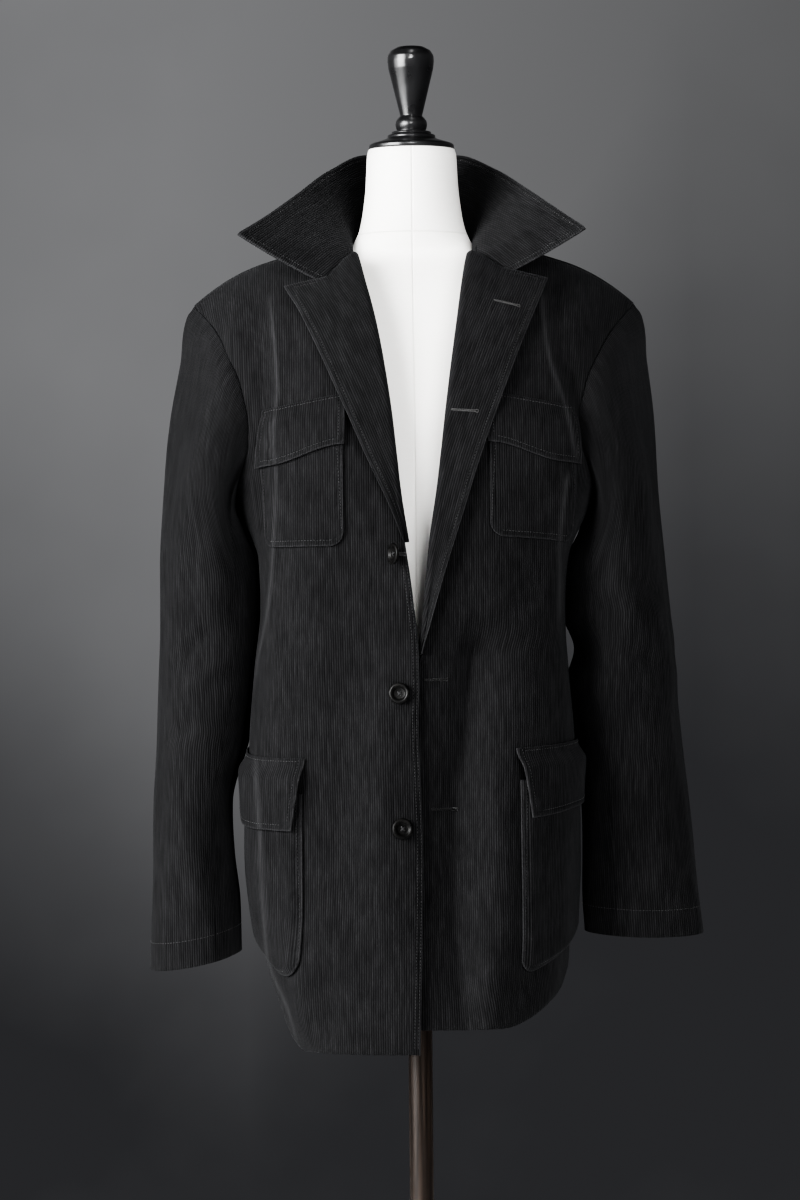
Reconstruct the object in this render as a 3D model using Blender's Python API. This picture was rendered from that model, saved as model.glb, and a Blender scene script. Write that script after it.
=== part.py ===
"""Corduroy blazer, worn open with its collar turned up, on a limbless dress form with a stand.

Metres, +Z up, the floor at z = 0 and the stand's pole on the Z axis. The garment's front faces -Y,
and right and left are the wearer's, so the right side lies at -X. Every cloth piece is a wall built
from a surface midway through its thickness, moved out and in by half of it.
"""

import math
from collections import namedtuple

import bmesh
import bpy
import numpy as np
from mathutils import Matrix, Vector

TINY = 1e-6  # a length that keeps divisions defined
SHARP_ANGLE = 40.0  # degrees past which an edge is shaded sharp
TURN_STEP = 9e-3  # small steps round and up that a surface's slope is read over
RISE_STEP = 1e-4

# Cloth
CLOTH = 0.0020  # thickness of a wall
SEAM = 0.0003  # gap between two pieces at a seam
LAY = 0.0012  # gap between a panel and what is sewn flat on it
RIGHT, LEFT = -1, 1  # sides of the wearer, as signs of X

# Body heights
TOP = 1.372  # level of the shoulder seams
UNDERARM = 1.076  # lowest level of the armholes
BACK_NECK = 1.352  # level of the back neck
CHEST = 1.10  # level where the shoulder slope starts to tilt the cloth
LOW = 0.560  # level of the lowest hem
HEM_REACH = 0.42  # how far up from the hem its rise still tilts the cloth
HEM_FRONT = {RIGHT: 0.561, LEFT: 0.584}
HEM_SIDE = 0.640
HEM_TURN = {RIGHT: (56.0, 90.0), LEFT: (24.0, 100.0)}  # degrees where the hem starts and ends its rise
SIDE_SEAM = 100.0  # degrees round from the centre front
TIP_TURN = 2.2  # most degrees that a seam gap takes, at the shoulder tip

# Shoulder line: its height falls from the neck point, faster towards the tip
NECK_POINT = 0.064
NECK_POINT_HEIGHT = 1.365
SHOULDER_FALL = 0.322
TIP_START = 0.150
TIP_FALL = 3.9

# Sections of the body, half of each side, from the hem to the shoulders
Section = namedtuple("Section", "level half_right half_left front back square middle hollow")
BODY = [
    Section(0.555, 0.123, 0.137, 0.165, 0.156, 3.0, 0.004, 0.000),
    Section(0.640, 0.149, 0.147, 0.156, 0.154, 2.9, 0.004, 0.000),
    Section(0.720, 0.163, 0.151, 0.148, 0.148, 2.8, 0.004, 0.000),
    Section(0.800, 0.170, 0.156, 0.140, 0.139, 2.7, 0.004, 0.012),
    Section(0.860, 0.176, 0.164, 0.134, 0.129, 2.7, 0.004, 0.026),
    Section(0.930, 0.170, 0.161, 0.128, 0.119, 2.7, 0.004, 0.028),
    Section(0.990, 0.162, 0.157, 0.126, 0.117, 2.7, 0.004, 0.022),
    Section(1.040, 0.1670, 0.162, 0.126, 0.121, 2.7, 0.005, 0.028),
    Section(1.090, 0.178, 0.177, 0.127, 0.126, 2.6, 0.006, 0.004),
    Section(1.150, 0.193, 0.193, 0.126, 0.128, 2.5, 0.008, 0.000),
    Section(1.220, 0.204, 0.205, 0.119, 0.124, 2.5, 0.010, 0.000),
    Section(1.280, 0.212, 0.213, 0.104, 0.111, 2.4, 0.010, 0.000),
    Section(1.320, 0.215, 0.217, 0.083, 0.091, 2.3, 0.010, 0.000),
    Section(1.345, 0.217, 0.219, 0.058, 0.066, 2.2, 0.010, 0.000),
    Section(1.362, 0.218, 0.220, 0.033, 0.038, 2.1, 0.010, 0.000),
    Section(TOP, 0.2185, 0.2205, SEAM / 2, SEAM / 2, 2.0, 0.010, 0.000),
]
HOLLOW_ANGLE = 112.0  # the side falls in behind the ridge that the front hangs from, round this angle
HOLLOW_SPREAD = 32.0

# Armhole edge of the front and of the back, in degrees round from the centre front
Armhole = namedtuple("Armhole", "level front back")
ARMHOLE = [
    Armhole(UNDERARM, SIDE_SEAM, SIDE_SEAM),
    Armhole(1.094, 82.0, 110.0),
    Armhole(1.125, 64.0, 118.0),
    Armhole(1.160, 54.0, 121.0),
    Armhole(1.200, 51.0, 121.0),
    Armhole(1.235, 51.5, 120.0),
    Armhole(1.280, 56.5, 118.0),
    Armhole(1.320, 63.5, 114.0),
    Armhole(1.348, 72.0, 108.0),
    Armhole(1.362, 79.0, 101.0),
    Armhole(TOP, 90.0, 90.0),
]

# Front edges: the X of each front's roll line or, below it, of its free edge
Edge = namedtuple("Edge", "height right left")
FRONT_EDGE = [
    Edge(0.540, -0.0010, -0.0110),
    Edge(0.760, 0.0040, -0.0110),
    Edge(0.880, 0.0010, -0.0110),
    Edge(0.915, 0.0020, -0.0080),
    Edge(0.947, 0.0020, 0.0032),
    Edge(1.000, -0.0030, 0.0078),
    Edge(1.055, -0.0087, 0.0141),
    Edge(1.110, -0.0150, 0.0224),
    Edge(1.200, -0.0290, 0.0365),
    Edge(1.270, -0.0420, 0.0475),
    Edge(1.325, -0.0560, 0.0560),
    Edge(1.358, -0.0635, 0.0630),
    Edge(1.400, -0.0650, 0.0650),
]
OVERLAP_TOP = 0.985  # below this level the right front lies over the left
OVERLAP_RAMP = 0.030  # height over which the two part
OVERLAP_SHIFT = 0.0034  # each front moves this far out or in there
OVERLAP_REACH = 0.055  # and comes back to its own surface over this width

# Lapels: the outer edge, from the break of the roll line up to the corner, across and up
Lapel = namedtuple("Lapel", "share across height")
LAPEL_EDGE = {
    RIGHT: [
        Lapel(0.00, 0.0118, 1.040),
        Lapel(0.16, 0.0230, 1.083),
        Lapel(0.34, 0.0440, 1.133),
        Lapel(0.53, 0.0660, 1.184),
        Lapel(0.73, 0.0880, 1.235),
        Lapel(0.90, 0.1100, 1.281),
        Lapel(1.00, 0.1260, 1.308),
    ],
    LEFT: [
        Lapel(0.00, 0.0082, 0.960),
        Lapel(0.18, 0.0300, 1.034),
        Lapel(0.34, 0.0460, 1.085),
        Lapel(0.51, 0.0625, 1.138),
        Lapel(0.70, 0.0840, 1.198),
        Lapel(0.86, 0.1060, 1.255),
        Lapel(1.00, 0.1310, 1.316),
    ],
}
LAPEL_START = {RIGHT: 1.040, LEFT: 0.960}  # levels where the roll line starts and ends
LAPEL_END = 1.357
TOP_TURN = 0.75  # share up the lapel where its rows start to follow its top
NOTCH_SHARE = {RIGHT: 0.42, LEFT: 0.46}  # the notch, along the lapel's top from the roll line to the corner
NOTCH_DROP = {RIGHT: 0.031, LEFT: 0.026}  # and how far below the roll line's end it lies
ROLL_RADIUS = 0.0042
ROLL_GAP = 0.0009  # the lapel starts this far past its front's edge
BREAK_RADIUS = 0.0024  # the roll is tighter at the break, over this share of its length
BREAK_SHARE = 0.33
LAPEL_LIFT = 0.0106  # the lapel's outer edge stands this far off its front

# Collar: its outer edge, from the centre back (share 0) to the points beside the notches (share 1)
Collar = namedtuple("Collar", "share across fore height")
COLLAR_EDGE = {
    RIGHT: [
        Collar(0.00, 0.000, 0.103, 1.4530),
        Collar(0.22, 0.046, 0.086, 1.4535),
        Collar(0.42, 0.084, 0.044, 1.4340),
        Collar(0.60, 0.117, -0.006, 1.4050),
        Collar(0.80, 0.149, -0.044, 1.3790),
        Collar(1.00, 0.1705, -0.070, 1.3620),
    ],
    LEFT: [
        Collar(0.00, 0.000, 0.103, 1.4530),
        Collar(0.22, 0.046, 0.086, 1.4525),
        Collar(0.42, 0.085, 0.044, 1.4340),
        Collar(0.60, 0.116, -0.006, 1.4090),
        Collar(0.80, 0.145, -0.044, 1.3850),
        Collar(1.00, 0.1680, -0.070, 1.3660),
    ],
}
COLLAR_CLOTH = 0.0028  # two layers
COLLAR_OFF = 0.0040  # the collar starts this far above the neckline
COLLAR_GORGE = 0.0022  # and this much more over the lapels' tops
GORGE_START = 0.06  # the collar's seam meets the lapel's top this share out from the roll line
COLLAR_IN = 0.016  # and this share nearer the middle
COLLAR_STAND = 0.030  # the collar rises this far before it flares, less towards the notches
COLLAR_STAND_FADE = 0.75
COLLAR_LEAN = 0.25  # share of the flare that the stand already has
NECK_LINE_STEPS = 40
NECK_LINE_ROUNDS = 2  # how often the seam line is smoothed

# Sleeves: sections below the armhole, their middle and half sizes across and fore and aft
Ring = namedtuple("Ring", "height across fore half_width half_depth")
SLEEVE = {
    RIGHT: [
        Ring(1.020, 0.2035, 0.0080, 0.0515, 0.0690),
        Ring(0.980, 0.2035, 0.0100, 0.0525, 0.0665),
        Ring(0.920, 0.2075, 0.0090, 0.0500, 0.0640),
        Ring(0.860, 0.2145, 0.0040, 0.0450, 0.0610),
        Ring(0.800, 0.2230, -0.0080, 0.0385, 0.0580),
        Ring(0.750, 0.2235, -0.0170, 0.0397, 0.0550),
        Ring(0.700, 0.2225, -0.0240, 0.0428, 0.0510),
        Ring(0.640, 0.2230, -0.0300, 0.0450, 0.0470),
    ],
    LEFT: [
        Ring(1.020, 0.1985, 0.0080, 0.0510, 0.0695),
        Ring(0.985, 0.2005, 0.0100, 0.0530, 0.0665),
        Ring(0.950, 0.2080, 0.0120, 0.0490, 0.0635),
        Ring(0.915, 0.2050, 0.0130, 0.0550, 0.0600),
        Ring(0.860, 0.2120, 0.0130, 0.0527, 0.0545),
        Ring(0.800, 0.2168, 0.0100, 0.0530, 0.0490),
        Ring(0.750, 0.2198, 0.0050, 0.0548, 0.0440),
        Ring(0.700, 0.2222, -0.0010, 0.0571, 0.0395),
        Ring(0.670, 0.2246, -0.0040, 0.0580, 0.0370),
    ],
}
CUFF_TILT = {RIGHT: 0.010, LEFT: 0.004}  # the cuff's outer edge hangs lower than its inner by twice this
CUFF_REACH = 0.12  # height over which the sleeve turns to that
SLEEVE_ROUND = 0.33  # length round a sleeve
CAP_STEP = 0.002  # slopes are read this far from the ends and the joint of a sleeve's two spans
SLEEVE_FRONT_SEAM = 0.17  # shares round the sleeve from the underarm, forward
SLEEVE_BACK_SEAM = 0.80
SLEEVE_OFF_TOP = 0.0030  # how far out the sleeve starts from the armhole, at the shoulder and below
SLEEVE_OFF_UNDER = 0.0042
SLEEVE_EASE = 0.020  # height over which the upper arm's slope is read
SLEEVE_START_TIP = (0.30, 0.0, -0.95)  # the way the sleeve leaves the armhole: out, fore and up
SLEEVE_START_MID = (0.62, 0.34, -0.72)
SLEEVE_START_UNDER = (0.12, 0.0, -0.99)

# Patch pockets and their flaps, on the fronts
Pocket = namedtuple("Pocket", "name side across width top bottom corner proud tilt flap")
Flap = namedtuple("Flap", "top depth point taper tilt")
CHEST_FLAPS = {
    RIGHT: Flap(1.202, 0.052, 0.013, 0.001, 0.008),
    LEFT: Flap(1.203, 0.052, 0.013, 0.001, 0.007),
}
HIP_FLAPS = {
    RIGHT: Flap(0.846, 0.071, 0.0, 0.010, -0.004),
    LEFT: Flap(0.852, 0.072, 0.0, 0.010, -0.007),
}
POCKETS = [
    Pocket("chest", RIGHT, 0.070, 0.090, 1.166, 1.053, 0.014, 0.0, 0.000, CHEST_FLAPS[RIGHT]),
    Pocket("chest", LEFT, 0.072, 0.092, 1.166, 1.062, 0.014, 0.0, 0.006, CHEST_FLAPS[LEFT]),
    Pocket("hip", RIGHT, 0.113, 0.150, 0.812, 0.624, 0.018, 0.005, 0.0, HIP_FLAPS[RIGHT]),
    Pocket("hip", LEFT, 0.097, 0.150, 0.820, 0.614, 0.018, 0.005, 0.0, HIP_FLAPS[LEFT]),
]
WALK_END = 150.0  # degrees round, past the outer end of every pocket
POCKET_RIM = 0.010  # width over which a bellows pocket rises from its edge
CORNER_RISE = 0.25  # share of its rounding that a lower corner already stands proud
FLAP_OVER = 0.003  # a flap is this much wider than its pocket at each end
FLAP_LIFT = 0.0008  # and its lower edge stands this much further off
FLAP_FLAT = 0.004  # it lies flat this far down and then bends out over its pocket
FLAP_BEND = 0.018
FLAP_DIP = 0.08  # a shaped flap deepens from this share of its width, over the next
FLAP_SWEEP = 0.66

# Buttons on the right front: across, up, how far each turns towards the wearer's right, and the length
# of its thread shank (off), longer for the one that stands turned on the curling edge
Button = namedtuple("Button", "name across height turn off")
BUTTONS = [
    Button("button_upper", 0.0200, 1.0445, 62.0, 0.0110),
    Button("button_middle", 0.0170, 0.9090, 6.0, 0.0012),
    Button("button_lower", 0.0160, 0.7780, 4.0, 0.0012),
]
BUTTON_SIDES = 16
BUTTON_PROFILE = [
    (0.0000, 0.0020),
    (0.0055, 0.0022),
    (0.0067, 0.0036),
    (0.0084, 0.0042),
    (0.0100, 0.0036),
    (0.0105, 0.0024),
    (0.0084, 0.0000),
    (0.0000, 0.0000),
]

# Dress form: half sections from its underside to its neck
Form = namedtuple("Form", "level half_width half_depth square middle")
FORM = [
    Form(0.7000, 0.130, 0.098, 2.3, 0.006),
    Form(0.7040, 0.134, 0.102, 2.3, 0.006),
    Form(0.7400, 0.137, 0.105, 2.3, 0.006),
    Form(0.8000, 0.135, 0.104, 2.3, 0.005),
    Form(0.8800, 0.125, 0.098, 2.2, 0.004),
    Form(0.9600, 0.116, 0.092, 2.2, 0.004),
    Form(1.0200, 0.119, 0.096, 2.2, 0.004),
    Form(1.1000, 0.137, 0.103, 2.3, 0.005),
    Form(1.1800, 0.150, 0.101, 2.3, 0.008),
    Form(1.2500, 0.158, 0.089, 2.3, 0.010),
    Form(1.3000, 0.158, 0.071, 2.3, 0.011),
    Form(1.3250, 0.147, 0.055, 2.2, 0.011),
    Form(1.3420, 0.110, 0.040, 2.1, 0.008),
    Form(1.3500, 0.076, 0.035, 2.0, 0.004),
    Form(1.3560, 0.0620, 0.036, 2.0, 0.003),
    Form(1.3620, 0.0570, 0.038, 2.0, 0.003),
    Form(1.3720, 0.0525, 0.0410, 2.0, 0.003),
    Form(1.3900, 0.0490, 0.0445, 2.0, 0.003),
    Form(1.4150, 0.0462, 0.0455, 2.0, 0.002),
    Form(1.4440, 0.0446, 0.0446, 2.0, 0.001),
    Form(1.4500, 0.0430, 0.0430, 2.0, 0.001),
]
FORM_TILT_START = 1.18  # between these levels the form takes on the shoulder slope
FORM_TILT_END = 1.352
FORM_NECK = 0.052  # which starts this far from the middle
FORM_SIDES = 32
FORM_STEPS = 30

# Turned pieces: radius and height of each corner of a profile, from the top down
KNOB_PROFILE = [
    (0.0000, 1.5538),
    (0.0130, 1.5528),
    (0.0198, 1.5490),
    (0.0228, 1.5440),
    (0.0232, 1.5385),
    (0.0224, 1.5310),
    (0.0108, 1.4836),
    (0.0132, 1.4815),
    (0.0153, 1.4785),
    (0.0159, 1.4748),
    (0.0151, 1.4710),
    (0.0138, 1.4688),
    (0.0196, 1.4678),
    (0.0198, 1.4656),
    (0.0238, 1.4645),
    (0.0240, 1.4612),
    (0.0300, 1.4590),
    (0.0400, 1.4560),
    (0.0424, 1.4545),
    (0.0424, 1.4503),
    (0.0000, 1.4503),
]
POLE_RADIUS = 0.0120
BASE_RADIUS = 0.210
BASE_PROFILE = [
    (0.0000, 0.0580),
    (0.0170, 0.0580),
    (0.0200, 0.0560),
    (0.0215, 0.0480),
    (0.0290, 0.0400),
    (0.0330, 0.0300),
    (0.0560, 0.0260),
    (0.1200, 0.0235),
    (0.1900, 0.0215),
    (0.2060, 0.0185),
    (BASE_RADIUS, 0.0120),
    (BASE_RADIUS, 0.0030),
    (0.2070, 0.0000),
    (0.0000, 0.0000),
]
TURNED_SIDES = 24
BASE_SIDES = 36

# Grids: the levels of the body's rows below and above the underarm, and counts of columns and rows
SKIRT_ROWS = [0.560, 0.590, 0.640, 0.690, 0.740, 0.790, 0.840]
WAIST_ROWS = [0.890, 0.930, 0.960, 1.000, 1.040, 1.058, UNDERARM]
YOKE_ROWS = [1.086, 1.104, 1.132, 1.170, 1.210, 1.250, 1.290, 1.320, 1.342, 1.357, 1.367, TOP]
BODY_ROWS = SKIRT_ROWS + WAIST_ROWS + YOKE_ROWS
FRONT_COLUMNS = 14
NECK_COLUMNS = 6
BACK_COLUMNS = 8
ROLL_COLUMNS = 5
LAPEL_COLUMNS = 8
COLLAR_COLUMNS = 14
COLLAR_ROWS = 7
SLEEVE_TOP_COLUMNS = 13
SLEEVE_UNDER_COLUMNS = 9
CAP_ROWS = 8
SLEEVE_ROWS = 13
ARMHOLE_STEPS = 60
PATCH_COLUMNS = 11
POCKET_ROWS = 8
FLAP_ROWS = 5
WALK_STEPS = 160

Finish = namedtuple("Finish", "name colour roughness metallic")
CORDUROY = Finish("black_corduroy", (0.014, 0.014, 0.015), 0.95, 0.0)
LINEN = Finish("white_linen", (0.80, 0.79, 0.76), 0.85, 0.0)
LACQUER = Finish("black_lacquer", (0.008, 0.008, 0.008), 0.18, 0.0)
DARK_WOOD = Finish("dark_wood", (0.050, 0.030, 0.022), 0.35, 0.0)
HORN = Finish("dark_horn", (0.020, 0.018, 0.017), 0.25, 0.0)


# Curves through tables
def smooth_step(value):
    """A share from 0 to 1 that starts and ends level."""
    share = np.clip(value, 0.0, 1.0)
    return share * share * (3.0 - 2.0 * share)


def curve(table, key, column, at):
    """A column of a table as a smooth curve over its key column, with no swings between the rows."""
    known = np.array([getattr(row, key) for row in table], float)
    values = np.array([getattr(row, column) for row in table], float)
    step = np.diff(known)
    slope = np.diff(values) / step
    ends = np.concatenate([slope[:1], slope, slope[-1:]])
    before, after = ends[:-1], ends[1:]
    same_way = before * after > 0
    tangent = np.where(same_way, 2 * before * after / np.where(same_way, before + after, 1.0), 0.0)
    tangent[0], tangent[-1] = slope[0], slope[-1]
    place = np.clip(np.asarray(at, float), known[0], known[-1])
    row = np.clip(np.searchsorted(known, place, side="right") - 1, 0, len(step) - 1)
    share = (place - known[row]) / step[row]
    rise = share * share * (3.0 - 2.0 * share)
    leave = share * (1.0 - share) ** 2 * step[row] * tangent[row]
    arrive = -(share**2) * (1.0 - share) * step[row] * tangent[row + 1]
    return values[row] + rise * (values[row + 1] - values[row]) + leave + arrive


def signed_power(value, power):
    return np.sign(value) * np.abs(value) ** power


# The body's surface
def shoulder_height(across):
    """Height of the shoulder seam at a distance from the middle."""
    reach = np.maximum(np.abs(across) - NECK_POINT, 0.0)
    tip = np.maximum(np.abs(across) - TIP_START, 0.0)
    return NECK_POINT_HEIGHT - SHOULDER_FALL * reach - TIP_FALL * tip**2


def hem_level(side, angle):
    """The level of the hem, which rises from the front to the side and the back."""
    start, end = HEM_TURN[side]
    rise = smooth_step((angle - start) / (end - start))
    return HEM_FRONT[side] + (HEM_SIDE - HEM_FRONT[side]) * rise


def tilted(side, angle, level):
    """The level that a row of the cloth has at an angle, since its rows follow the hem low down."""
    fade = np.clip(1.0 - (level - LOW) / HEM_REACH, 0.0, 1.0) ** 2
    return level + (hem_level(side, angle) - LOW) * fade


def half_width(side, level):
    return curve(BODY, "level", "half_right" if side == RIGHT else "half_left", level)


def body_place(side, angle, level):
    """Points of the body's surface at angles round from the centre front and at levels."""
    angle, level = np.broadcast_arrays(np.asarray(angle, float), np.asarray(level, float))
    power = 2.0 / curve(BODY, "level", "square", level)
    turn = np.radians(angle)
    across = half_width(side, level) * signed_power(np.sin(turn), power)
    behind = np.exp(-(((angle - HOLLOW_ANGLE) / HOLLOW_SPREAD) ** 2)) * np.sin(turn) ** 2
    across = across - curve(BODY, "level", "hollow", level) * behind
    facing = signed_power(np.cos(turn), power)
    depth = np.where(facing > 0, curve(BODY, "level", "front", level), curve(BODY, "level", "back", level))
    fore = curve(BODY, "level", "middle", level) - depth * facing
    fore = fore - overlap_shift(side, across, level, facing)
    slope = smooth_step((level - CHEST) / (TOP - CHEST))
    height = level - slope * (TOP - shoulder_height(across))
    return np.stack([side * across, fore, height], axis=-1)


def overlap_shift(side, across, level, facing):
    """How far a front stands out where the right one lies over the left."""
    near = 1.0 - smooth_step(np.abs(across) / OVERLAP_REACH)
    low = smooth_step((OVERLAP_TOP - level) / OVERLAP_RAMP)
    return np.where(facing > 0, -side * OVERLAP_SHIFT * near * low, 0.0)


def surface_normals(place, first, second, outward):
    """Unit normals of a surface that is a function of two parameters."""
    along = place(first + TURN_STEP, second) - place(first - TURN_STEP, second)
    up = place(first, second + RISE_STEP) - place(first, second - RISE_STEP)
    normal = np.cross(along, up) * outward
    return normal / np.linalg.norm(normal, axis=-1, keepdims=True)


def body_surface(side, angle, level):
    """Points and outward normals of the body's surface."""
    points = body_place(side, angle, level)
    below_seam = np.minimum(level, TOP - 2.0 * RISE_STEP)
    normals = surface_normals(lambda a, b: body_place(side, a, b), angle, below_seam, side)
    seam = np.asarray(level) > TOP - TINY
    normals[..., 1] = np.where(seam, 0.0, normals[..., 1])
    return points, normals / np.linalg.norm(normals, axis=-1, keepdims=True)


def angle_at(side, across, level):
    """The angle at which the front's surface lies a distance across from the middle."""
    share = np.clip(np.asarray(across) / half_width(side, level), -1.0, 1.0)
    return np.degrees(np.arcsin(signed_power(share, curve(BODY, "level", "square", level) / 2.0)))


def level_at(across, height):
    """The level of the point of the front at a distance across and a height."""
    level = np.asarray(height, float)
    for _ in range(8):
        slope = smooth_step((level - CHEST) / (TOP - CHEST))
        level = height + slope * (TOP - shoulder_height(across))
    return np.minimum(level, TOP)


def front_surface(side, across, height):
    """Points and normals of a front, by distance across and height."""
    level = level_at(across, height)
    return body_surface(side, angle_at(side, across, level), level)


# Solids
def finish_material(finish):
    """The material of a finish, made once."""
    material = bpy.data.materials.get(finish.name)
    if material is None:
        material = bpy.data.materials.new(finish.name)
        material.use_nodes = True
        shader = material.node_tree.nodes["Principled BSDF"]
        shader.inputs["Base Color"].default_value = (*finish.colour, 1.0)
        shader.inputs["Roughness"].default_value = finish.roughness
        shader.inputs["Metallic"].default_value = finish.metallic
    return material


def add_object(name, vertices, faces, finish):
    """A named object with a closed mesh, its faces turned outward."""
    mesh = bpy.data.meshes.new(name)
    mesh.from_pydata([tuple(vertex) for vertex in vertices], [], faces)
    shape = bmesh.new()
    shape.from_mesh(mesh)
    bmesh.ops.recalc_face_normals(shape, faces=shape.faces)
    shape.to_mesh(mesh)
    shape.free()
    mesh.shade_smooth()
    mesh.set_sharp_from_angle(angle=math.radians(SHARP_ANGLE))
    mesh.materials.append(finish_material(finish))
    made = bpy.data.objects.new(name, mesh)
    bpy.context.scene.collection.objects.link(made)
    return made


def add_wall(name, outer, inner, finish=CORDUROY):
    """A closed wall between two grids of points, its edges joined all round."""
    rows, columns = outer.shape[:2]
    count = rows * columns
    index = np.arange(count).reshape(rows, columns)
    faces = []
    for row in range(rows - 1):
        for column in range(columns - 1):
            corners = (
                index[row, column],
                index[row, column + 1],
                index[row + 1, column + 1],
                index[row + 1, column],
            )
            faces.append(tuple(int(corner) for corner in corners))
            faces.append(tuple(int(corner) + count for corner in reversed(corners)))
    border = [*index[0, :], *index[1:, -1], *index[-1, -2::-1], *index[-2:0:-1, 0]]
    for start, end in zip(border, border[1:] + border[:1]):
        faces.append((int(end), int(start), int(start) + count, int(end) + count))
    vertices = np.concatenate([outer.reshape(-1, 3), inner.reshape(-1, 3)])
    return add_object(name, vertices, faces, finish)


def add_cloth(name, points, normals, thickness=CLOTH):
    """A cloth wall with its surface in the middle of its thickness."""
    half = normals * (thickness / 2.0)
    return add_wall(name, points + half, points - half)


def add_turned(name, profile, sides, finish):
    """A solid turned round the Z axis, from a profile that starts and ends on it."""
    rim = [(radius, height) for radius, height in profile if radius > 0]
    turns = np.arange(sides) * 2.0 * math.pi / sides
    vertices = [(r * math.cos(t), r * math.sin(t), z) for r, z in rim for t in turns]
    faces = []
    for ring in range(len(rim) - 1):
        for side in range(sides):
            after = (side + 1) % sides
            high, low = ring * sides, (ring + 1) * sides
            faces.append((high + side, high + after, low + after, low + side))
    top, bottom = len(vertices), len(vertices) + 1
    vertices += [(0.0, 0.0, profile[0][1]), (0.0, 0.0, profile[-1][1])]
    last = (len(rim) - 1) * sides
    for side in range(sides):
        after = (side + 1) % sides
        faces.append((top, side, after))
        faces.append((bottom, last + after, last + side))
    return add_object(name, vertices, faces, finish)


# Cloth pieces
def front_edge_angle(side, level):
    """The angle of a front's inner edge at each level."""
    column = "right" if side == RIGHT else "left"
    across = np.full_like(level, 0.0)
    for _ in range(6):
        slope = smooth_step((level - CHEST) / (TOP - CHEST))
        height = level - slope * (TOP - shoulder_height(across))
        across = side * curve(FRONT_EDGE, "height", column, height)
    return angle_at(side, across, level)


def seam_inset(side, angle, level, towards):
    """An angle moved by half a seam gap along its row."""
    step = body_place(side, angle + 0.5, level) - body_place(side, angle - 0.5, level)
    reach = np.linalg.norm(step, axis=-1)
    return angle + towards * np.minimum(SEAM / 2.0 / np.maximum(reach, TINY), TIP_TURN)


def add_front(side, name):
    """A front, from its roll line and front edge to the side seam and the armhole."""
    level = np.array(BODY_ROWS)
    inner = front_edge_angle(side, level)
    outer = np.where(level <= UNDERARM, SIDE_SEAM, curve(ARMHOLE, "level", "front", level))
    outer = seam_inset(side, outer, level, -1)
    share = np.linspace(0.0, 1.0, FRONT_COLUMNS)
    angle = inner[:, None] + (outer - inner)[:, None] * share
    rows = tilted(side, angle, level[:, None])
    points, normals = body_surface(side, angle, rows)
    return add_cloth(name, points, normals)


def back_top(side, share):
    """The level of the back's upper edge: the neckline up to the neck point, then the shoulder seam."""
    across = half_width(side, TOP) * np.sin(np.radians(90.0) * share)
    return BACK_NECK + (TOP - BACK_NECK) * np.minimum(across / NECK_POINT, 1.0) ** 2


def neck_share(side):
    """The share of the back's upper edge that the neckline takes."""
    return angle_at(side, NECK_POINT, TOP) / 90.0


def add_back(side, name):
    """A back half, from the centre back seam and the neckline to the side seam and the armhole."""
    neck = neck_share(side)
    shoulder = np.linspace(neck, 1.0, BACK_COLUMNS)[1:]
    share = np.concatenate([np.linspace(0.0, neck, NECK_COLUMNS), shoulder])
    level = np.array(BODY_ROWS)
    outer = np.where(level <= UNDERARM, SIDE_SEAM, curve(ARMHOLE, "level", "back", level))
    outer = seam_inset(side, outer, level, 1)
    inner = 180.0 - angle_at(side, SEAM / 2.0, level)
    angle = inner[:, None] + (outer - inner)[:, None] * share
    up = np.maximum(level - UNDERARM, 0.0) / (TOP - UNDERARM)
    rows = level[:, None] - up[:, None] * (TOP - back_top(side, share))
    points, normals = body_surface(side, angle, tilted(side, angle, rows))
    return add_cloth(name, points, normals)


def edge_height(side, level):
    """The height of a front's inner edge at each level."""
    return body_place(side, front_edge_angle(side, level), level)[..., 2]


def lapel_levels(side):
    """The levels of the front's rows that the lapel's roll shares."""
    return np.array([row for row in BODY_ROWS if LAPEL_START[side] <= row <= LAPEL_END])


def lapel_place(side, share, reach):
    """A lapel's surface: share from the break up, reach from the roll (below 0) to the outer edge (1)."""
    column = "right" if side == RIGHT else "left"
    start, end = edge_height(side, np.array([LAPEL_START[side], LAPEL_END]))
    roll_height = start + (end - start) * share
    roll = side * curve(FRONT_EDGE, "height", column, roll_height)
    edge = curve(LAPEL_EDGE[side], "share", "across", share)
    tip_height = curve(LAPEL_EDGE[side], "share", "height", share)
    out = np.clip(reach, 0.0, 1.0)
    across = roll + (edge - roll) * out
    straight = roll_height + (tip_height - roll_height) * out
    notch, drop = NOTCH_SHARE[side], NOTCH_DROP[side]
    past = np.clip((out - notch) / (1.0 - notch), 0.0, 1.0)
    top_line = roll_height - drop * np.clip(out / notch, 0.0, 1.0) + (tip_height - roll_height + drop) * past
    height = straight + (top_line - straight) * smooth_step((share - TOP_TURN) / (1.0 - TOP_TURN))
    points, normals = front_surface(side, across, height)
    bend = np.clip(-reach, 0.0, 1.0) * math.pi
    radius = BREAK_RADIUS + (ROLL_RADIUS - BREAK_RADIUS) * smooth_step(share / BREAK_SHARE)
    lift = np.where(
        reach < 0,
        radius * (1.0 + np.cos(bend)),
        2.0 * radius + (LAPEL_LIFT - 2.0 * radius) * smooth_step(out),
    )
    towards = np.where(reach < 0, ROLL_GAP * np.clip(-2.0 * reach, 0.0, 1.0) + radius * np.sin(bend), 0.0)
    inward = np.zeros_like(points)
    inward[..., 0] = -side
    return points + normals * lift[..., None] + inward * towards[..., None]


def grid_normals(points, outward):
    """Unit normals of a grid of points, from its rows and columns."""
    normal = np.cross(np.gradient(points, axis=1), np.gradient(points, axis=0)) * outward
    return normal / np.linalg.norm(normal, axis=-1, keepdims=True)


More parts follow.
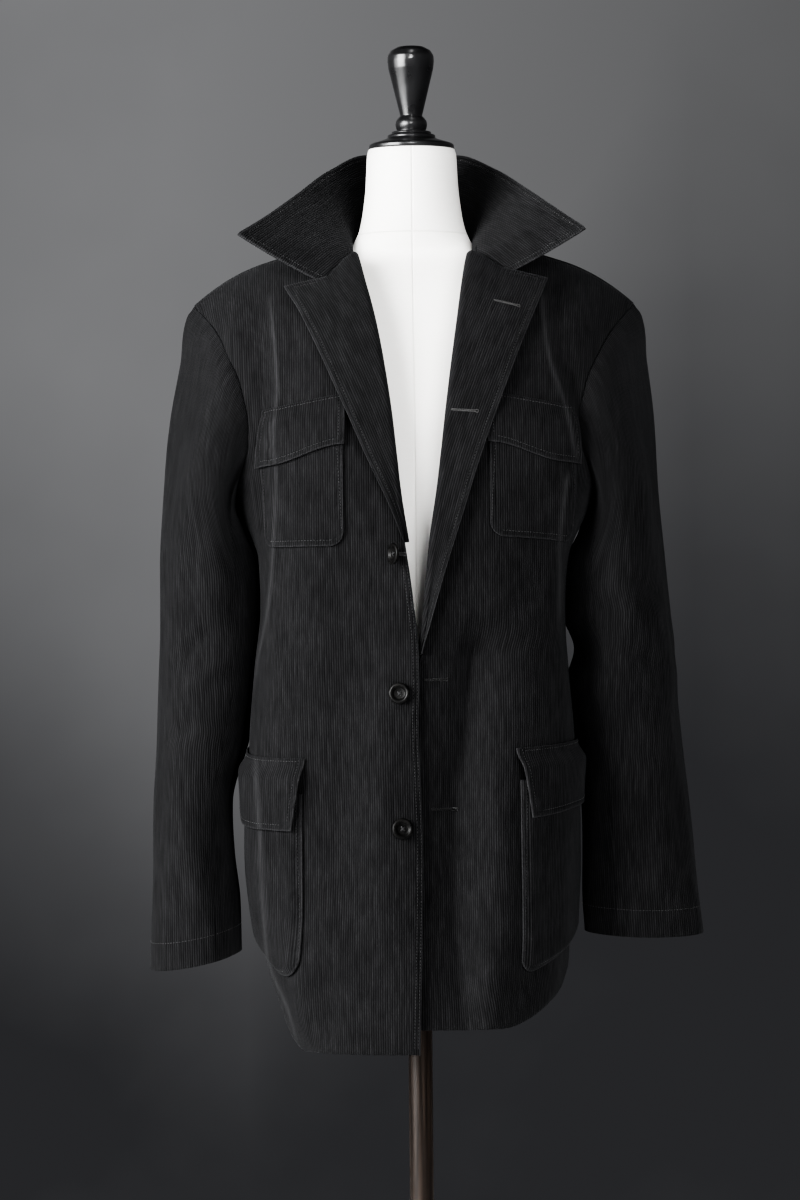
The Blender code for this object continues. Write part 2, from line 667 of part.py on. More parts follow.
def add_lapel(side, name):
    """A lapel with its roll, from just clear of the front's edge round to its outer edge."""
    heights = edge_height(side, lapel_levels(side))
    share = (heights - heights[0]) / (heights[-1] - heights[0])
    roll = np.linspace(-1.0, 0.0, ROLL_COLUMNS + 1)[:-1]
    reach = np.concatenate([roll, np.linspace(0.0, 1.0, LAPEL_COLUMNS)])
    share, reach = np.broadcast_arrays(share[:, None], reach[None, :])
    points = lapel_place(side, share, reach)
    return add_cloth(name, points, grid_normals(points, side))


def even_line(points, share):
    """Points of a line at shares of its length."""
    length = np.concatenate([[0.0], np.cumsum(np.linalg.norm(np.diff(points, axis=0), axis=1))])
    return np.stack([np.interp(share * length[-1], length, points[:, axis]) for axis in range(3)], axis=-1)


def neck_line(side, share):
    """The line that the collar is sewn to, from the centre back round the neck to the lapel's notch."""
    around = np.linspace(0.0, neck_share(side), NECK_LINE_STEPS)
    back = body_place(side, 180.0 - 90.0 * around, back_top(side, around))
    level = np.linspace(TOP, LAPEL_END, NECK_LINE_STEPS)[1:]
    front = body_place(side, front_edge_angle(side, level), level)
    out = np.linspace(GORGE_START, NOTCH_SHARE[side], NECK_LINE_STEPS)
    gorge = lapel_place(side, np.ones(NECK_LINE_STEPS), out)
    gorge[..., 2] += COLLAR_GORGE
    line = even_line(np.concatenate([back, front, gorge]), np.linspace(0.0, 1.0, NECK_LINE_STEPS))
    for _ in range(NECK_LINE_ROUNDS):
        line[1:-1] = (line[:-2] + 2.0 * line[1:-1] + line[2:]) / 4.0
    line = even_line(line, share)
    line[..., 0] *= 1.0 - COLLAR_IN
    line[..., 2] += COLLAR_OFF
    return line


def collar_place(side, share, rise):
    """A collar half: share from the centre back to the notch, rise from the neck seam to the outer edge."""
    seam = neck_line(side, share)
    table = COLLAR_EDGE[side]
    across, fore, height = (curve(table, "share", column, share) for column in ("across", "fore", "height"))
    edge = np.stack([side * across, fore, height], axis=-1)
    stand = seam + np.array([0.0, 0.0, COLLAR_STAND]) * (1.0 - COLLAR_STAND_FADE * share[..., None] ** 2)
    stand = stand + COLLAR_LEAN * (edge - seam) * np.array([1.0, 1.0, 0.0])
    rise = rise[..., None]
    return (1 - rise) ** 2 * seam + 2 * rise * (1 - rise) * stand + rise**2 * edge


def add_collar(name):
    """The turned-up collar, as one wall from notch to notch."""
    share = np.linspace(0.0, 1.0, COLLAR_COLUMNS)
    rise = np.linspace(0.0, 1.0, COLLAR_ROWS)[:, None]
    halves = []
    for side in (RIGHT, LEFT):
        along, up = np.broadcast_arrays(share[None, :], rise)
        halves.append(collar_place(side, along, up))
    points = np.concatenate([halves[0][:, :0:-1], halves[1]], axis=1)
    return add_cloth(name, points, grid_normals(points, 1), COLLAR_CLOTH)


def armhole_place(side, share):
    """Points of the armhole, share from the underarm over the front to the shoulder and down the back."""
    level = np.linspace(UNDERARM, TOP, ARMHOLE_STEPS)
    front = body_place(side, curve(ARMHOLE, "level", "front", level), level)
    back = body_place(side, curve(ARMHOLE, "level", "back", level), level)
    halves = []
    for line in (front, back):
        length = np.concatenate([[0.0], np.cumsum(np.linalg.norm(np.diff(line, axis=0), axis=1))])
        halves.append((line, length / length[-1]))
    share = np.asarray(share) % 1.0
    forward = np.minimum(share * 2.0, 1.0)
    backward = np.minimum((1.0 - share) * 2.0, 1.0)
    result = np.empty(share.shape + (3,))
    for axis in range(3):
        before = np.interp(forward, halves[0][1], halves[0][0][:, axis])
        after = np.interp(backward, halves[1][1], halves[1][0][:, axis])
        result[..., axis] = np.where(share <= 0.5, before, after)
    return result


def sleeve_ring(side, share, height):
    """Points of a sleeve's section at heights below the armhole."""
    table = sorted(SLEEVE[side], key=lambda ring: ring.height)
    turn = 2.0 * math.pi * share
    wide = curve(table, "height", "half_width", height)
    deep = curve(table, "height", "half_depth", height)
    out = -np.cos(turn)
    across = curve(table, "height", "across", height) + wide * out
    fore = curve(table, "height", "fore", height) - deep * np.sin(turn)
    low = smooth_step(1.0 - (height - table[0].height) / CUFF_REACH)
    return np.stack([side * across, fore, height - CUFF_TILT[side] * out * low], axis=-1)


def sleeve_place(side, share, down):
    """A sleeve's surface: share round from the underarm, down from armhole (0) to cuff (2)."""
    share, down = np.broadcast_arrays(np.asarray(share, float), np.asarray(down, float))
    top_height, cuff_height = SLEEVE[side][0].height, SLEEVE[side][-1].height
    turn = 2.0 * math.pi * share
    out = -np.cos(turn)
    tip, under, middle = np.clip(out, 0, 1) ** 2, np.clip(-out, 0, 1) ** 2, np.sin(turn) ** 2
    starts = [np.array(way) for way in (SLEEVE_START_TIP, SLEEVE_START_UNDER, SLEEVE_START_MID)]
    way = tip[..., None] * starts[0] + under[..., None] * starts[1] + middle[..., None] * starts[2]
    way[..., 0] *= side
    way[..., 1] *= -np.sin(turn)
    hole = armhole_place(side, share)
    hole[..., 0] += side * (SLEEVE_OFF_TOP + (SLEEVE_OFF_UNDER - SLEEVE_OFF_TOP) * (1.0 - out) / 2.0)
    upper = sleeve_ring(side, share, np.full(share.shape, top_height))
    span = np.linalg.norm(upper - hole, axis=-1, keepdims=True)
    part = np.clip(down, 0.0, 1.0)[..., None]
    ease = part * part * (3.0 - 2.0 * part)
    leave = part * (1.0 - part) ** 2 * span * way
    below = sleeve_ring(side, share, np.full(share.shape, top_height - SLEEVE_EASE))
    arrive = part**2 * (1.0 - part) * span * (upper - below) / SLEEVE_EASE
    cap = hole + ease * (upper - hole) + leave + arrive
    height = top_height + (cuff_height - top_height) * np.clip(down - 1.0, 0.0, 1.0)
    lower = sleeve_ring(side, share, height)
    return np.where(down[..., None] <= 1.0, cap, lower)


def add_sleeve(side, name, start, end, columns):
    """One of a sleeve's two panels, between its seams."""
    width = SEAM / 2.0 / SLEEVE_ROUND
    share = np.linspace(start + width, end - width, columns)[None, :]
    down = np.concatenate([np.linspace(0.0, 1.0, CAP_ROWS), np.linspace(1.0, 2.0, SLEEVE_ROWS)[1:]])[:, None]
    share, down = np.broadcast_arrays(share, down)
    points = sleeve_place(side, share, down)
    inside = np.clip(down, CAP_STEP, 2.0 - CAP_STEP)
    inside = np.where(np.abs(inside - 1.0) < CAP_STEP, 1.0 + CAP_STEP, inside)
    normals = surface_normals(lambda a, b: sleeve_place(side, a, b), share, inside, side)
    return add_cloth(name, points, normals)


def row_walk(side, level, across, width):
    """Angles at distances along a row of the front, out from a distance across."""
    start = angle_at(side, across, level)
    angle = start + np.linspace(0.0, 1.0, WALK_STEPS) * (WALK_END - start)
    line = body_place(side, angle, tilted(side, angle, level))
    length = np.concatenate([[0.0], np.cumsum(np.linalg.norm(np.diff(line, axis=0), axis=1))])
    return np.interp(width, length, angle)


def patch_places(side, across, widths, levels):
    """Angles and levels of a patch on a front: distances along its rows, and their levels."""
    angle = np.empty(levels.shape)
    for row in range(levels.shape[0]):
        for column in range(levels.shape[1]):
            angle[row, column] = row_walk(side, levels[row, column], across, widths[row, column])
    return angle, tilted(side, angle, levels)


def corner_spread(width, count):
    """Distances over a width, closer together near its ends."""
    return width * (1.0 - np.cos(np.linspace(0.0, math.pi, count))) / 2.0


def add_pocket(pocket, name):
    """A patch pocket with rounded lower corners, flat or standing proud on bellows."""
    wide = corner_spread(pocket.width, PATCH_COLUMNS)
    near_end = np.minimum(wide, pocket.width - wide)
    short = np.maximum(pocket.corner - near_end, 0.0)
    rise = pocket.corner - np.sqrt(pocket.corner**2 - short**2)
    bottom = level_at(pocket.across, pocket.bottom) + rise - pocket.tilt * wide / pocket.width
    top = level_at(pocket.across, pocket.top)
    up = np.linspace(0.0, 1.0, POCKET_ROWS)[:, None]
    levels = bottom[None, :] + (top - bottom[None, :]) * up
    widths = np.broadcast_to(wide, levels.shape)
    angle, rows = patch_places(pocket.side, pocket.across, widths, levels)
    points, normals = body_surface(pocket.side, angle, rows)
    from_edge = np.minimum(near_end[None, :], (levels - bottom[None, :]) + CORNER_RISE * rise[None, :])
    lift = CLOTH / 2.0 + LAY + pocket.proud * smooth_step(from_edge / POCKET_RIM)
    inner = points + normals * lift[..., None]
    return add_wall(name, inner + normals * CLOTH, inner)


def add_flap(pocket, name):
    """A pocket flap, its lower edge shaped and standing a little further off."""
    wide = np.linspace(0.0, 1.0, PATCH_COLUMNS)
    depth = pocket.flap.depth + pocket.flap.point * smooth_step((wide - FLAP_DIP) / FLAP_SWEEP)
    top = level_at(pocket.across, pocket.flap.top)
    down = np.linspace(0.0, 1.0, FLAP_ROWS)[:, None]
    levels = top - pocket.flap.tilt * wide[None, :] - depth[None, :] * down
    taper = pocket.flap.taper * down
    widths = taper - FLAP_OVER + (pocket.width + 2.0 * FLAP_OVER - 2.0 * taper) * wide[None, :]
    angle, rows = patch_places(pocket.side, pocket.across - FLAP_OVER, widths + FLAP_OVER, levels)
    points, normals = body_surface(pocket.side, angle, rows)
    over_pocket = smooth_step((depth[None, :] * down - FLAP_FLAT) / FLAP_BEND) * (pocket.proud + CLOTH + LAY)
    lift = CLOTH / 2.0 + LAY + over_pocket + FLAP_LIFT * down
    inner = points + normals * lift[..., None]
    return add_wall(name, inner + normals * CLOTH, inner)


def add_button(button):
    """A round button with a raised rim, facing out from the right front."""
    points, normals = front_surface(RIGHT, np.array([button.across]), np.array([button.height]))
    facing = Matrix.Rotation(-math.radians(button.turn), 3, "Z") @ Vector(normals[0])
    made = add_turned(button.name, BUTTON_PROFILE, BUTTON_SIDES, HORN)
    made.location = Vector(points[0]) + Vector(normals[0]) * (CLOTH / 2.0 + button.off)
    made.rotation_mode = "QUATERNION"
    made.rotation_quaternion = Vector((0.0, 0.0, 1.0)).rotation_difference(facing)
    return made


# Dress form and stand
def add_form(name):
    """The limbless form, ring by ring from its underside to its neck."""
    level = np.array([row.level for row in FORM])
    fine = np.interp(np.linspace(0.0, len(level) - 1.0, FORM_STEPS), np.arange(len(level)), level)
    turns = np.arange(FORM_SIDES) * 2.0 * math.pi / FORM_SIDES
    power = 2.0 / curve(FORM, "level", "square", fine)[:, None]
    across = curve(FORM, "level", "half_width", fine)[:, None] * signed_power(np.sin(turns), power)
    deep = curve(FORM, "level", "half_depth", fine)[:, None] * signed_power(np.cos(turns), power)
    fore = curve(FORM, "level", "middle", fine)[:, None] - deep
    slope = smooth_step((fine - FORM_TILT_START) / (FORM_TILT_END - FORM_TILT_START))[:, None]
    height = fine[:, None] - slope * SHOULDER_FALL * np.maximum(np.abs(across) - FORM_NECK, 0.0)
    vertices = list(np.stack([across, fore, height], axis=-1).reshape(-1, 3))
    faces = []
    for ring in range(FORM_STEPS - 1):
        for side in range(FORM_SIDES):
            after = (side + 1) % FORM_SIDES
            low, high = ring * FORM_SIDES, (ring + 1) * FORM_SIDES
            faces.append((low + side, low + after, high + after, high + side))
    faces.append(tuple(range(FORM_SIDES - 1, -1, -1)))
    last = (FORM_STEPS - 1) * FORM_SIDES
    faces.append(tuple(range(last, last + FORM_SIDES)))
    return add_object(name, vertices, faces, LINEN)


def add_stand():
    """The knob on the neck, the pole under the form and the round base."""
    add_turned("neck_knob", KNOB_PROFILE, TURNED_SIDES, LACQUER)
    pole_top, pole_foot = FORM[0].level - SEAM, BASE_PROFILE[0][1] + SEAM
    pole = [(0.0, pole_top), (POLE_RADIUS, pole_top), (POLE_RADIUS, pole_foot), (0.0, pole_foot)]
    add_turned("stand_pole", pole, TURNED_SIDES, DARK_WOOD)
    add_turned("stand_base", BASE_PROFILE, BASE_SIDES, DARK_WOOD)


def main():
    for old in list(bpy.data.objects):
        bpy.data.objects.remove(old, do_unlink=True)
    add_form("form_torso")
    add_stand()
    for side, word in ((RIGHT, "right"), (LEFT, "left")):
        add_front(side, f"front_{word}")
        add_back(side, f"back_{word}")
        add_lapel(side, f"lapel_{word}")
        front_seam, back_seam = SLEEVE_FRONT_SEAM, SLEEVE_BACK_SEAM
        add_sleeve(side, f"sleeve_{word}_top", front_seam, back_seam, SLEEVE_TOP_COLUMNS)
        add_sleeve(side, f"sleeve_{word}_under", back_seam, 1.0 + front_seam, SLEEVE_UNDER_COLUMNS)
    add_collar("collar")
    for pocket in POCKETS:
        word = "right" if pocket.side == RIGHT else "left"
        add_pocket(pocket, f"{pocket.name}_pocket_{word}")
        add_flap(pocket, f"{pocket.name}_flap_{word}")
    for button in BUTTONS:
        add_button(button)


main()
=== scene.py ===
"""Corduroy blazer, worn open on a dress form: cloth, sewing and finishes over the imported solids.

Metres, +Z up, the floor at z = 0 and the stand's pole on the Z axis. The garment's front faces -Y, and
right and left are the wearer's, so the right side lies at -X. Every cloth piece is a thin shell on the
form of its solid, with its creases as soft ridges and troughs of the surface.
"""

import logging
import math
from dataclasses import dataclass, field
from enum import Enum
from typing import Callable, NamedTuple, Sequence

import bpy
import numpy as np
from mathutils import Matrix, Vector

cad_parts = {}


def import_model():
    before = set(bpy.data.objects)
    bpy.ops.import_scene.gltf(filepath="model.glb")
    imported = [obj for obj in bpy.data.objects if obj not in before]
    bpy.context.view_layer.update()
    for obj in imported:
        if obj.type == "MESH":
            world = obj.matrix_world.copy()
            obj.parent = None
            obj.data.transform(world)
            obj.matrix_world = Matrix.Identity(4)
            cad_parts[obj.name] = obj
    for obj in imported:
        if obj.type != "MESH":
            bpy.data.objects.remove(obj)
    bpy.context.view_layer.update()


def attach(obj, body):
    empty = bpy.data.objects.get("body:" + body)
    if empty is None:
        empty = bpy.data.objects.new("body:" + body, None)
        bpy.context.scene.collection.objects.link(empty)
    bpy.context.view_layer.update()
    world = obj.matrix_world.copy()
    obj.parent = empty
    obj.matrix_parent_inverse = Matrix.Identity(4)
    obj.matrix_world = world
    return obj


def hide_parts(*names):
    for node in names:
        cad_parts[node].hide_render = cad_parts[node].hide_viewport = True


Array = np.ndarray
Arrays = tuple[Array, Array]
Mesh = tuple[Array, list]
Pair = tuple[float, float]
Triple = tuple[float, float, float]
Socket = bpy.types.NodeSocket
Material = bpy.types.Material
Piece = bpy.types.Object
Place = Callable[[Array, Array], Array]
LOG = logging.getLogger("blazer")

TINY = 1e-6
CLOTH = 0.002  # thickness of the cloth
SEAM = 0.00006  # gap between two pieces at a seam
LAY = 0.0012  # gap between a panel and what is sewn flat on it
FAR = 1.0  # stands for no stitched edge near
TURN_STEP = 9e-3  # small steps that a surface's slope is read over
RISE_STEP = 1e-4
FOLD_FADE = 0.35  # share of a fold's length that each end fades over
CREASE_FOOT = 0.22  # the same for a crease's lower end
CREASE_HEAD = 0.1  # and for its upper end
CREASE_POWER = 1.5  # how sharp a crease's crest is
CREST = 0.36  # width of a crease's lighter crest, partly worn nap and partly painted highlight, as a share of the crease's own
MAP_MARGIN = 0.01  # free border of a shell's map
MAP_FACE = (0.475, 0.96)  # size of each of its two faces there
MAP_STEP = 0.5  # from one face to the other
MAP_RIM = (0.975, 0.985, 0.995)  # levels of the rim's two strips
NOISE_MIDDLE = (0.3, 0.7)  # where most of a noise lies
NOISE_WIDE = (0.2, 0.8)  # and nearly all of it


class Side(Enum):
    """A side of the wearer, with the sign of its X."""

    RIGHT = -1
    LEFT = 1

    @property
    def word(self) -> str:
        """The side's name as used in piece names."""
        return self.name.lower()


class Border(Enum):
    """A border of a panel's grid."""

    FIRST_ROW = 0
    LAST_ROW = 1
    FIRST_COLUMN = 2
    LAST_COLUMN = 3


class Face(Enum):
    """The face of the body that a crease lies on."""

    FRONT = 1
    BACK = -1


ENDS = (Border.FIRST_COLUMN, Border.LAST_COLUMN)


def eased(value: Array) -> Array:
    """A share from 0 to 1 that starts and ends level."""
    share = np.clip(value, 0.0, 1.0)
    return share * share * (3.0 - 2.0 * share)


def even(count: int) -> Array:
    """Shares from 0 to 1 in even steps."""
    return np.linspace(0.0, 1.0, count)


def signed_power(value: Array, power: Array) -> Array:
    """A power of the size of a value, with its sign kept."""
    return np.sign(value) * np.abs(value) ** power


def unit(vectors: Array) -> Array:
    """Vectors at length one."""
    return vectors / np.maximum(np.linalg.norm(vectors, axis=-1, keepdims=True), TINY)


def walked(points: Array, axis: int) -> Array:
    """Distances walked along one axis of a grid of points."""
    steps = np.linalg.norm(np.diff(points, axis=axis), axis=-1)
    first = np.zeros_like(np.take(steps, [0], axis=axis))
    return np.concatenate([first, np.cumsum(steps, axis=axis)], axis=axis)


def slopes(place: Place, first: Array, second: Array, outward: int) -> Array:
    """Unit normals of a surface that is a function of two parameters."""
    along = place(first + TURN_STEP, second) - place(first - TURN_STEP, second)
    up = place(first, second + RISE_STEP) - place(first, second - RISE_STEP)
    return unit(np.cross(unit(along), unit(up)) * outward)


def grid_normals(points: Array, outward: int) -> Array:
    """Unit normals of a grid of points, from its rows and columns."""
    return unit(np.cross(np.gradient(points, axis=1), np.gradient(points, axis=0)) * outward)


def circle(sides: int) -> Array:
    """X and Y of points round a circle of radius one."""
    turns = np.arange(sides) * 2.0 * math.pi / sides
    return np.stack([np.cos(turns), np.sin(turns)], axis=-1)


def even_line(points: Array, share: Array) -> Array:
    """Points of a line, and any further columns with them, at shares of its length."""
    length = walked(points[:, :3], 0)
    columns = [np.interp(share * length[-1], length, points[:, column]) for column in range(points.shape[1])]
    return np.stack(columns, axis=-1)


class Table:
    """Rows of numbers, read as smooth curves over their first column, with no swings between rows.

    Args:
        columns: the columns' names, with spaces between them.
        rows: the rows, with a number for each column.
    """

    def __init__(self, columns: str, *rows: Sequence[float]) -> None:
        """Sorts the rows and names their columns."""
        values = np.array(sorted(rows), float).T
        self.known = values[0]
        self.values = dict(zip(columns.split(), values))

    def __call__(self, column: str, at: Array) -> Array:
        """A column's values at places of the first column."""
        known, values = self.known, self.values[column]
        step = np.diff(known)
        slope = np.diff(values) / step
        ends = np.concatenate([slope[:1], slope, slope[-1:]])
        before, after = ends[:-1], ends[1:]
        same_way = before * after > 0
        tangent = np.where(same_way, 2 * before * after / np.where(same_way, before + after, 1.0), 0.0)
        tangent[0], tangent[-1] = slope[0], slope[-1]
        place = np.clip(np.asarray(at, float), known[0], known[-1])
        row = np.clip(np.searchsorted(known, place, side="right") - 1, 0, len(step) - 1)
        share = (place - known[row]) / step[row]
        leave = share * (1.0 - share) ** 2 * step[row] * tangent[row]
        arrive = -(share**2) * (1.0 - share) * step[row] * tangent[row + 1]
        return values[row] + eased(share) * (values[row + 1] - values[row]) + leave + arrive


class Fold(NamedTuple):
    """A straight crease from one place to another: ridge where its depth is above 0, trough below."""

    across: float
    up: float
    to_across: float
    to_up: float
    depth: float
    width: float

    def relief(self, across: Array, up: Array) -> Array:
        """How far the crease lifts the surface at places across and up."""
        way_across, way_up = self.to_across - self.across, self.to_up - self.up
        length = math.hypot(way_across, way_up)
        off_across, off_up = across - self.across, up - self.up
        share = (off_across * way_across + off_up * way_up) / length / length
        off = (off_across * way_up - off_up * way_across) / length
        taper = eased(share / FOLD_FADE) * eased((1.0 - share) / FOLD_FADE)
        return self.depth * taper * np.exp(-((off / self.width) ** 2))


class Crease(NamedTuple):
    """A long, sharp crease along a path of heights and X: ridge where its depth is above 0, trough below."""

    depth: float
    width: float
    points: Sequence[Pair]

    def relief(self, across: Array, up: Array) -> Array:
        """How far the crease lifts the surface at places across and up."""
        path = Table("height across", *self.points)
        low, high = path.known[0], path.known[-1]
        share = (up - low) / (high - low)
        taper = eased(share / CREASE_FOOT) * eased((1.0 - share) / CREASE_HEAD)
        off = np.abs(across - path("across", up)) / self.width
        return self.depth * taper * np.exp(-(off**CREASE_POWER))

    def wear(self, across: Array, up: Array) -> Array:
        """How much the crease's crest is lightened, partly for worn nap and partly as painted highlight, from
        0 to 1.
        """
        if self.depth < 0:
            return np.zeros_like(across)
        return self._replace(depth=1.0, width=CREST * self.width).relief(across, up)


def folded(*rows: Sequence[float]) -> list[Fold]:
    """Folds from their rows of numbers."""
    return [Fold(*row) for row in rows]


TOP = 1.372  # level of the shoulder seams
UNDERARM = 1.076  # lowest level of the armholes
LAPEL_END = 1.345  # level where the roll lines end
LOWER_ROWS = 104  # rows of the fronts and backs up to the underarm
UPPER_ROWS = 78  # and from there to the shoulder

# Half sections of the body
BODY = Table(
    "level half_right half_left front back square middle hollow",
    (0.555, 0.123, 0.137, 0.165, 0.156, 3.0, 0.004, 0.0),
    (0.64, 0.149, 0.147, 0.156, 0.154, 2.9, 0.004, 0.0),
    (0.72, 0.163, 0.151, 0.148, 0.148, 2.8, 0.004, 0.0),
    (0.8, 0.17, 0.156, 0.14, 0.139, 2.7, 0.004, 0.012),
    (0.86, 0.176, 0.164, 0.134, 0.129, 2.7, 0.004, 0.026),
    (0.93, 0.17, 0.161, 0.128, 0.119, 2.7, 0.004, 0.028),
    (0.99, 0.162, 0.157, 0.126, 0.117, 2.7, 0.004, 0.022),
    (1.04, 0.167, 0.162, 0.126, 0.121, 2.7, 0.005, 0.028),
    (1.09, 0.178, 0.177, 0.127, 0.126, 2.6, 0.006, 0.004),
    (1.15, 0.193, 0.193, 0.126, 0.128, 2.5, 0.008, 0.0),
    (1.22, 0.204, 0.205, 0.119, 0.124, 2.5, 0.01, 0.0),
    (1.28, 0.212, 0.213, 0.104, 0.111, 2.4, 0.01, 0.0),
    (1.32, 0.215, 0.217, 0.083, 0.091, 2.3, 0.01, 0.0),
    (1.345, 0.217, 0.219, 0.058, 0.066, 2.2, 0.01, 0.0),
    (1.362, 0.218, 0.22, 0.033, 0.038, 2.1, 0.01, 0.0),
    (TOP, 0.2185, 0.2205, SEAM / 2, SEAM / 2, 2.0, 0.01, 0.0),
)
# The armholes' edges, in degrees round from the centre front
ARMHOLE = Table(
    "level front back",
    (UNDERARM, 100.0, 100.0), (1.094, 82.0, 110.0), (1.125, 64.0, 118.0), (1.16, 54.0, 121.0),
    (1.2, 51.0, 121.0), (1.235, 51.5, 120.0), (1.28, 56.5, 118.0), (1.32, 63.5, 114.0),
    (1.348, 72.0, 108.0), (1.362, 79.0, 101.0), (TOP, 90.0, 90.0),
)
# X of each front's roll line or free edge
FRONT_EDGE = Table(
    "height right left",
    (0.54, -0.001, -0.011), (0.76, 0.004, -0.011), (0.88, 0.001, -0.011), (0.915, 0.002, -0.008),
    (0.947, 0.0018, 0.0045), (1.0, -0.003, 0.0122), (1.055, -0.0104, 0.0184), (1.11, -0.0196, 0.0268),
    (1.2, -0.0302, 0.0378), (1.27, -0.042, 0.0475), (1.325, -0.056, 0.056), (1.358, -0.0635, 0.063),
    (1.4, -0.065, 0.065),
)


@dataclass(frozen=True)
class Cut:
    """What differs between the two sides of the jacket.

    Attributes:
        hem_front: level of the hem at the front.
        hem_turn: degrees where the hem starts and ends its rise to the side.
        lapel_start: level where the roll line starts.
        notch_share: the notch, along the lapel's top from the roll line to the corner.
        notch_drop: how far below the roll line's end the notch lies.
        cuff_tilt: half of how much lower the cuff's outer edge hangs than its inner.
        lapel: the lapel's outer edge, by shares from the break up.
        collar: the collar's outer edge, by shares from the centre back.
        sleeve: the sleeve's sections below the armhole.
        sleeve_span: heights of the sleeve's upper arm and of its cuff.
    """

    hem_front: float
    hem_turn: Pair
    lapel_start: float
    notch_share: float
    notch_drop: float
    cuff_tilt: float
    lapel: Table
    collar: Table
    sleeve: Table
    sleeve_span: Pair


CUTS = {
    Side.RIGHT: Cut(
        hem_front=0.561,
        hem_turn=(56.0, 90.0),
        lapel_start=1.056,
        notch_share=0.34,
        notch_drop=0.0245,
        cuff_tilt=0.0085,
        lapel=Table(
            "share across height",
            (0.0, 0.0118, 1.056), (0.12, 0.023, 1.086), (0.34, 0.044, 1.133), (0.53, 0.066, 1.184),
            (0.73, 0.088, 1.235), (0.9, 0.11, 1.281), (1.0, 0.124, 1.3035),
        ),
        collar=Table(
            "share across fore height",
            (0.0, 0.0, 0.103, 1.453), (0.22, 0.046, 0.086, 1.4535), (0.42, 0.084, 0.044, 1.434),
            (0.6, 0.117, -0.006, 1.405), (0.8, 0.149, -0.044, 1.379), (1.0, 0.1738, -0.07, 1.362),
        ),
        sleeve=Table(
            "height across fore half_width half_depth",
            (1.02, 0.2035, 0.008, 0.0515, 0.069), (0.98, 0.2035, 0.01, 0.0525, 0.0665),
            (0.92, 0.2075, 0.009, 0.05, 0.064), (0.86, 0.2145, 0.004, 0.045, 0.061),
            (0.8, 0.223, -0.008, 0.0385, 0.058), (0.75, 0.2235, -0.017, 0.0397, 0.055),
            (0.7, 0.2225, -0.024, 0.0428, 0.051), (0.64, 0.223, -0.03, 0.045, 0.047),
        ),
        sleeve_span=(1.02, 0.646),
    ),
    Side.LEFT: Cut(
        hem_front=0.584,
        hem_turn=(24.0, 100.0),
        lapel_start=0.947,
        notch_share=0.38,
        notch_drop=0.0175,
        cuff_tilt=0.0015,
        lapel=Table(
            "share across height",
            (0.0, 0.005, 0.947), (0.2, 0.03, 1.034), (0.34, 0.046, 1.085), (0.51, 0.0625, 1.138),
            (0.7, 0.084, 1.198), (0.86, 0.106, 1.255), (1.0, 0.1298, 1.3095),
        ),
        collar=Table(
            "share across fore height",
            (0.0, 0.0, 0.103, 1.453), (0.22, 0.046, 0.086, 1.4525), (0.42, 0.085, 0.044, 1.434),
            (0.6, 0.116, -0.006, 1.409), (0.8, 0.145, -0.044, 1.385), (1.0, 0.1718, -0.07, 1.3642),
        ),
        sleeve=Table(
            "height across fore half_width half_depth",
            (1.02, 0.1985, 0.008, 0.051, 0.0695), (0.985, 0.2005, 0.01, 0.053, 0.0665),
            (0.95, 0.208, 0.012, 0.049, 0.0635), (0.915, 0.205, 0.013, 0.055, 0.06),
            (0.86, 0.212, 0.013, 0.0527, 0.0545), (0.8, 0.2168, 0.01, 0.053, 0.049),
            (0.75, 0.2198, 0.005, 0.0548, 0.044), (0.7, 0.2222, -0.001, 0.0571, 0.0395),
            (0.67, 0.2246, -0.004, 0.058, 0.037),
        ),
        sleeve_span=(1.02, 0.668),
    ),
}

